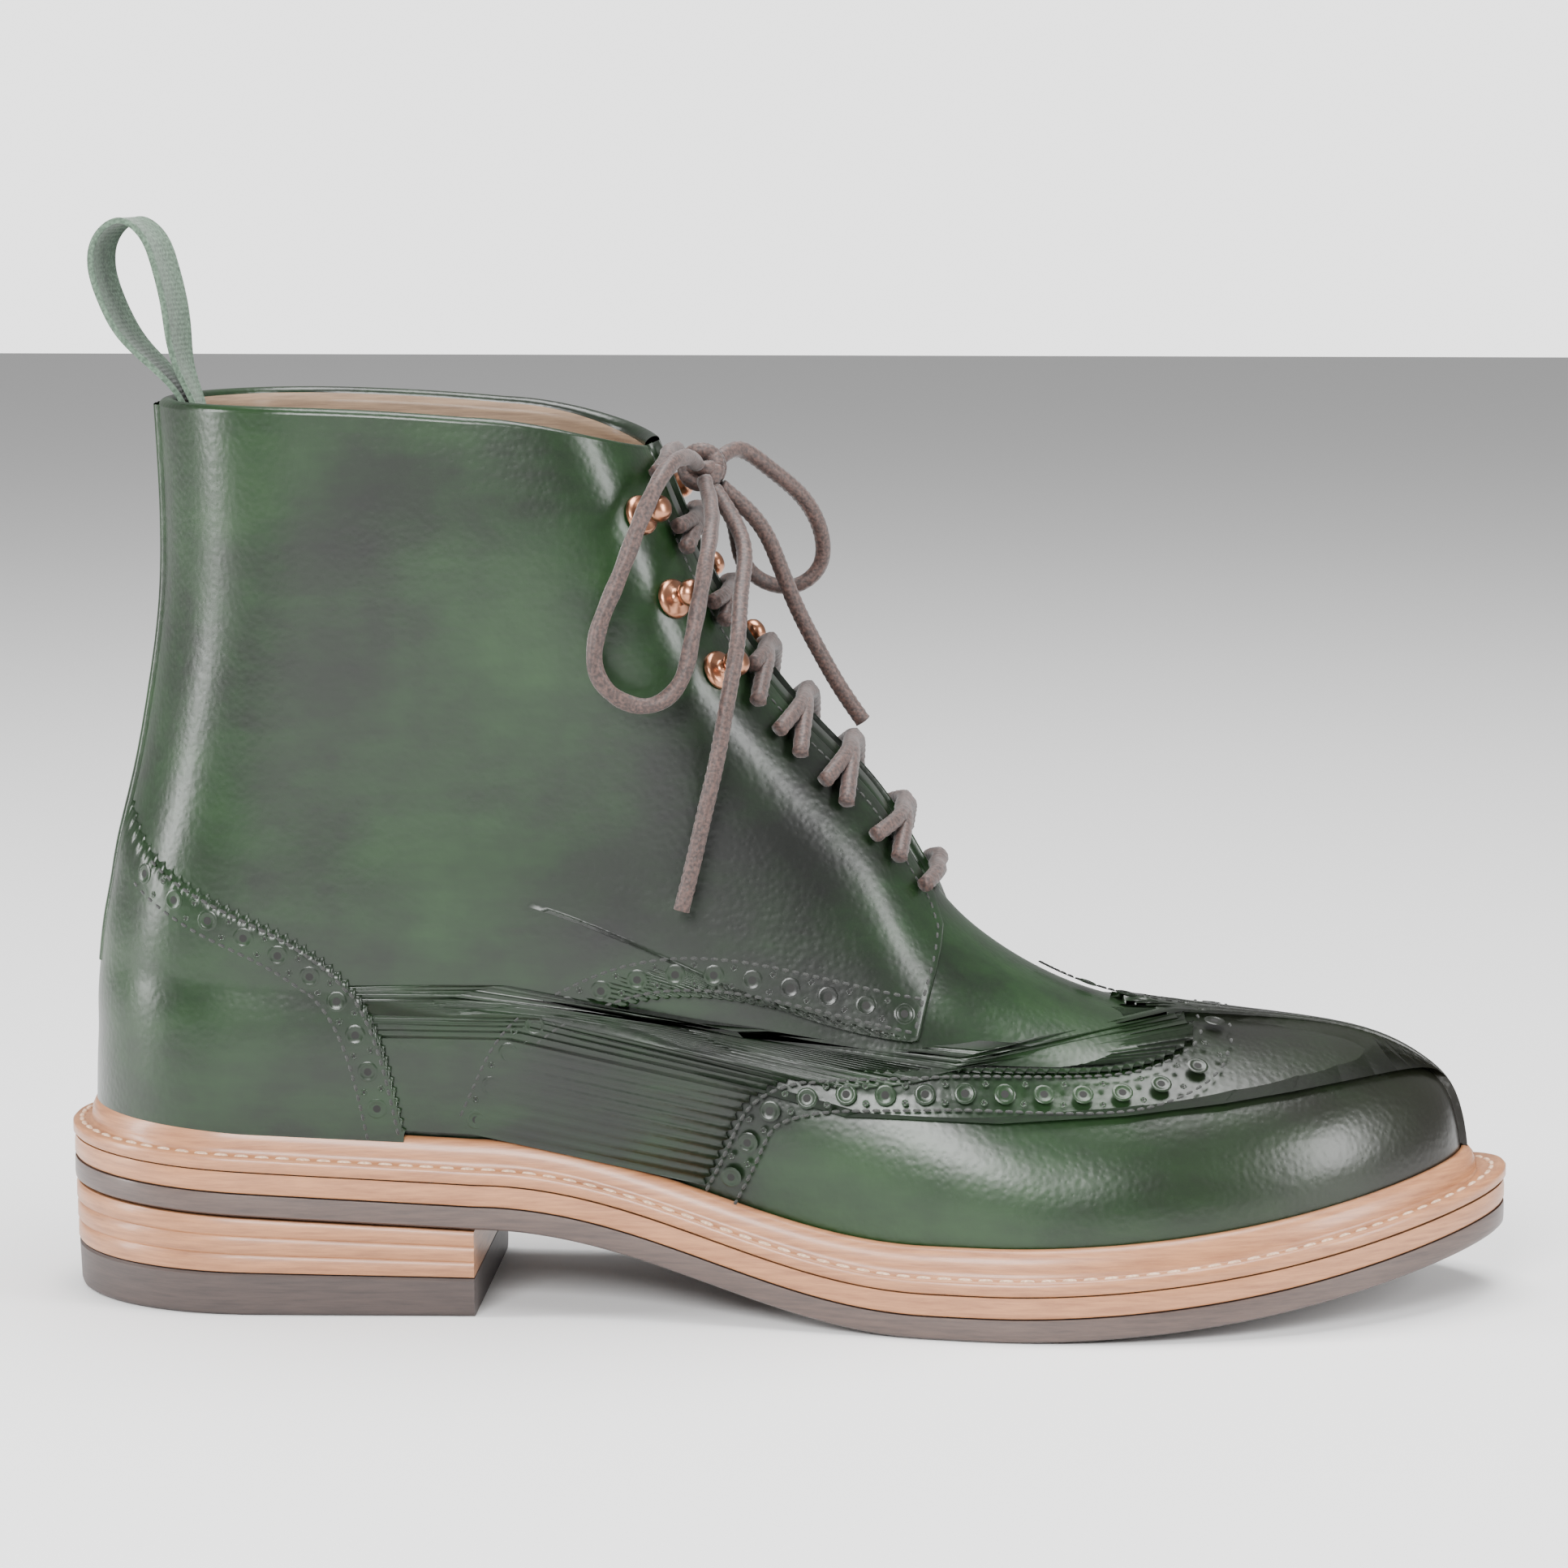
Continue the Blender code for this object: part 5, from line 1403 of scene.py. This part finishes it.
def hooks_piece():
    """Speed hooks: a profile turned round each hook's own axis."""
    profile_rows = hook_profile()
    sides = 28
    turn = np.arange(sides) * 2.0 * np.pi / sides
    points = np.stack([profile_rows[:, 0:1] * np.cos(turn)[None],
                       profile_rows[:, 0:1] * np.sin(turn)[None],
                       np.broadcast_to(profile_rows[:, 1:2], (len(profile_rows), sides))], -1)
    faces = grid(len(profile_rows), sides, closed=True)
    faces.append(list(range((len(profile_rows) - 1) * sides, len(profile_rows) * sides)))
    seat = GAP + QUARTER_THICK
    parts = []
    for side in (-1.0, 1.0):
        places, outs = side_points(HOOKS, side, seat)
        parts.append(repeated(points.reshape(-1, 3), faces, places,
                              np.tile([1.0, 0.0, 0.0], (len(places), 1)), outs))
    points, faces = joined(parts)
    made = make_object("speed_hooks", points, faces, METAL)
    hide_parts(*[f"hook_{s}_{i}" for s in ("lateral", "medial") for i in (1, 2, 3)])


def lacing():
    """Laces over the throat: the strands of part and scene share one rule."""
    places = [np.array(side_place(row)) for row in np.concatenate([PUNCHES, HOOKS])]
    parts = []

    def run(start, end, lean, first, last):
        path = smooth_path(strand(start, end, lean, first, last), 60)
        parts.append(cord_tube(path, LACE / 2.0, 12, wave=0.10, turns=len(path) / 3.0))

    first = places[0] - (places[1] - places[0]) * STRAND_SPREAD_SHARE
    run(first, first, 0.0, 0.95, 0.95)
    for i in range(len(places) - 1):
        low, high = places[i], places[i + 1]
        rise = (high - low) * STRAND_SPREAD_SHARE
        reach_low = 0.95 if i < len(PUNCHES) else HOOK_REACH_SHARE
        reach_high = 0.95 if i + 1 < len(PUNCHES) else HOOK_REACH_SHARE
        run(low + rise, high - rise, LACE_LEAN, reach_low, reach_high)
        run(high - rise, low + rise, LACE_LEAN, reach_high, reach_low)
    last = places[-1] + (places[-1] - places[-2]) * STRAND_SPREAD_SHARE
    run(last, last, TIE_LEAN, HOOK_REACH_SHARE, HOOK_REACH_SHARE)
    points, faces = joined(parts)
    made = make_object("lacing", points, faces, CORD)
    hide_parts("lace_bar", "lace_tie", *[f"lace_cross_{i}" for i in range(1, 7)])


def knot_piece():
    """Knot: three turns of lace wound round each other."""
    centre = bow_origin() + np.array(KNOT_PLACE)
    size = np.array(KNOT_SIZE) / 2.0
    parts = []
    turn = np.linspace(0.0, 2.0 * np.pi, 60)
    for tilt, shift, reach in ((0.5, -0.0016, 0.62), (-0.45, 0.0016, 0.66), (1.5, 0.0, 0.50)):
        ring = np.stack([np.cos(turn) * size[0] * reach,
                         shift + np.sin(turn) * math.sin(tilt) * size[1] * reach,
                         np.sin(turn) * math.cos(tilt) * size[2] * reach], -1)
        parts.append(cord_tube(centre + ring, LACE * 0.52, 12, wave=0.10, turns=14.0))
    points, faces = joined(parts)
    made = make_object("bow_knot", points, faces, CORD)
    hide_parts("lace_knot")
    return made


AGLET_LENGTH = 0.022


def bow_pieces():
    """Loops and ends of the bow as free cords, with their sheathed tips."""
    for name, route in BOW.items():
        line = list(bow_origin() + np.array(route))
        start = at_knot(line[0])
        is_loop = "loop" in name
        if is_loop:
            line.append(at_knot(line[-1]))
        path = smooth_path(np.array([start, *line]), 110)
        length = float(np.linalg.norm(np.diff(path, axis=0), axis=1).sum())
        points, faces = cord_tube(path, LACE / 2.0, 12, wave=0.10, turns=length / 0.0034)
        cord = make_object(name + "_cord", points, faces, CORD)
        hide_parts(name)
        if not is_loop:
            back = length - AGLET_LENGTH
            far = np.concatenate([[0.0], np.cumsum(np.linalg.norm(np.diff(path, axis=0), axis=1))])
            tip = path[far > back]
            tip_points, tip_faces = cord_tube(even(tip, 24), LACE * 0.47, 14)
            aglet = make_object(name + "_tip", tip_points, tip_faces, RUBBER)


def pull_loop_piece():
    """Pull loop: ribbed webbing swept along its side view, turned at its top."""
    collar = np.array([BACK_X[-1], BACK_Z[-1]])
    path = smooth_path(collar + np.array(LOOP_ROUTE), 420)
    ahead = np.gradient(path, axis=0)
    ahead /= np.linalg.norm(ahead, axis=1, keepdims=True)
    across = np.stack([-ahead[:, 1], ahead[:, 0]], -1)
    rib = 0.5 + 0.5 * np.cos(np.arange(len(path)) * 2.0 * np.pi / 4.0)
    turn = TAPE_TURN_ANGLE * ease((path[:, 1] - BACK_Z[-1] - TAPE_TURN_LOW)
                                  / (TAPE_TURN_HIGH - TAPE_TURN_LOW))
    section = np.array([(-1.0, 0.0), (-0.985, 0.8), (-0.9, 1.0), (-0.86, 0.85), (0.86, 0.85),
                        (0.9, 1.0), (0.985, 0.8), (1.0, 0.0), (0.985, -0.8), (0.9, -1.0),
                        (0.86, -0.85), (-0.86, -0.85), (-0.9, -1.0), (-0.985, -0.8)])
    half = TAPE_WIDTH / 2.0
    thick = TAPE_THICK / 2.0
    inner = np.abs(section[:, 0]) < 0.88
    depth = section[None, :, 1] * thick * (1.0 - 0.22 * rib[:, None] * inner[None])
    y = section[None, :, 0] * half * np.cos(turn)[:, None]
    x = (path[:, 0:1] + across[:, 0:1] * depth + section[None, :, 0] * half * np.sin(turn)[:, None])
    z = path[:, 1:2] + across[:, 1:2] * depth
    points = np.stack([x, y, z], -1)
    faces = grid(len(path), len(section), closed=True, flip=False)
    size = len(section)
    faces.append(list(range(size))[::-1])
    faces.append(list(range((len(path) - 1) * size, len(path) * size)))
    made = make_object("pull_loop_webbing", points, faces, TAPE)
    made.data.set_sharp_from_angle(angle=math.radians(50.0))
    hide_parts("pull_loop")


hooks_piece()
lacing()
bow_knot = knot_piece()
bow_pieces()
pull_loop_piece()

for node_name in ("insole",):
    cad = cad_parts[node_name]
    cad_object = cad if hasattr(cad, "data") else bpy.data.objects.get(node_name)
    if cad_object:
        cad_object.data.materials.clear()
        cad_object.data.materials.append(LINING)


def area_light(name, place, target, size, power, colour=(1.0, 1.0, 1.0)):
    """Soft box of light aimed at a point."""
    lamp = bpy.data.lights.new(name, "AREA")
    lamp.shape = "RECTANGLE"
    lamp.size, lamp.size_y = size
    lamp.energy = power
    lamp.color = colour
    made = bpy.data.objects.new(name, lamp)
    made.location = place
    made.rotation_euler = (Vector(target) - Vector(place)).to_track_quat("-Z", "Y").to_euler()
    bpy.context.scene.collection.objects.link(made)


def studio():
    """Pale floor, pale sky and large soft boxes."""
    mesh = bpy.data.meshes.new("studio_floor")
    mesh.from_pydata([(-4, -4, 0), (4, -4, 0), (4, 4, 0), (-4, 4, 0)], [], [(0, 1, 2, 3)])
    floor = bpy.data.objects.new("studio_floor", mesh)
    mesh.materials.append(principled("pale_floor", (0.86, 0.86, 0.86), 0.6, spec=0.2)[0])
    bpy.context.scene.collection.objects.link(floor)
    world = bpy.data.worlds.new("studio_sky")
    bpy.context.scene.world = world
    world.use_nodes = True
    sky = world.node_tree.nodes["Background"]
    sky.inputs["Color"].default_value = (1.0, 1.0, 1.0, 1.0)
    path = world.node_tree.nodes.new("ShaderNodeLightPath")
    glow = world.node_tree.nodes.new("ShaderNodeMapRange")
    glow.inputs["To Min"].default_value = 0.42
    glow.inputs["To Max"].default_value = 2.6
    world.node_tree.links.new(path.outputs["Is Camera Ray"], glow.inputs["Value"])
    world.node_tree.links.new(glow.outputs["Result"], sky.inputs["Strength"])
    target = (0.0, 0.0, 0.09)
    area_light("front_box", (-0.25, -1.3, 0.75), target, (0.55, 0.45), 30.0)
    area_light("top_box", (0.1, 0.1, 1.4), target, (1.1, 0.7), 34.0)
    area_light("toe_box", (1.2, -0.5, 0.55), target, (0.35, 0.7), 16.0)
    area_light("heel_box", (-1.2, -0.2, 0.45), target, (0.25, 0.8), 16.0)


def camera():
    """Camera at the photograph's angle, a little above and toward the toe."""
    yaw, rise, far = math.radians(3.0), math.radians(7.6), 1.140
    target = Vector((-0.0007, 0.0, 0.111))
    data = bpy.data.cameras.new("camera")
    data.lens = 120.2
    data.sensor_width = 36.0
    made = bpy.data.objects.new("camera", data)
    made.location = target + far * Vector((math.sin(yaw) * math.cos(rise),
                                           -math.cos(yaw) * math.cos(rise), math.sin(rise)))
    made.rotation_euler = (target - made.location).to_track_quat("-Z", "Y").to_euler()
    bpy.context.scene.collection.objects.link(made)
    bpy.context.scene.camera = made


studio()
camera()
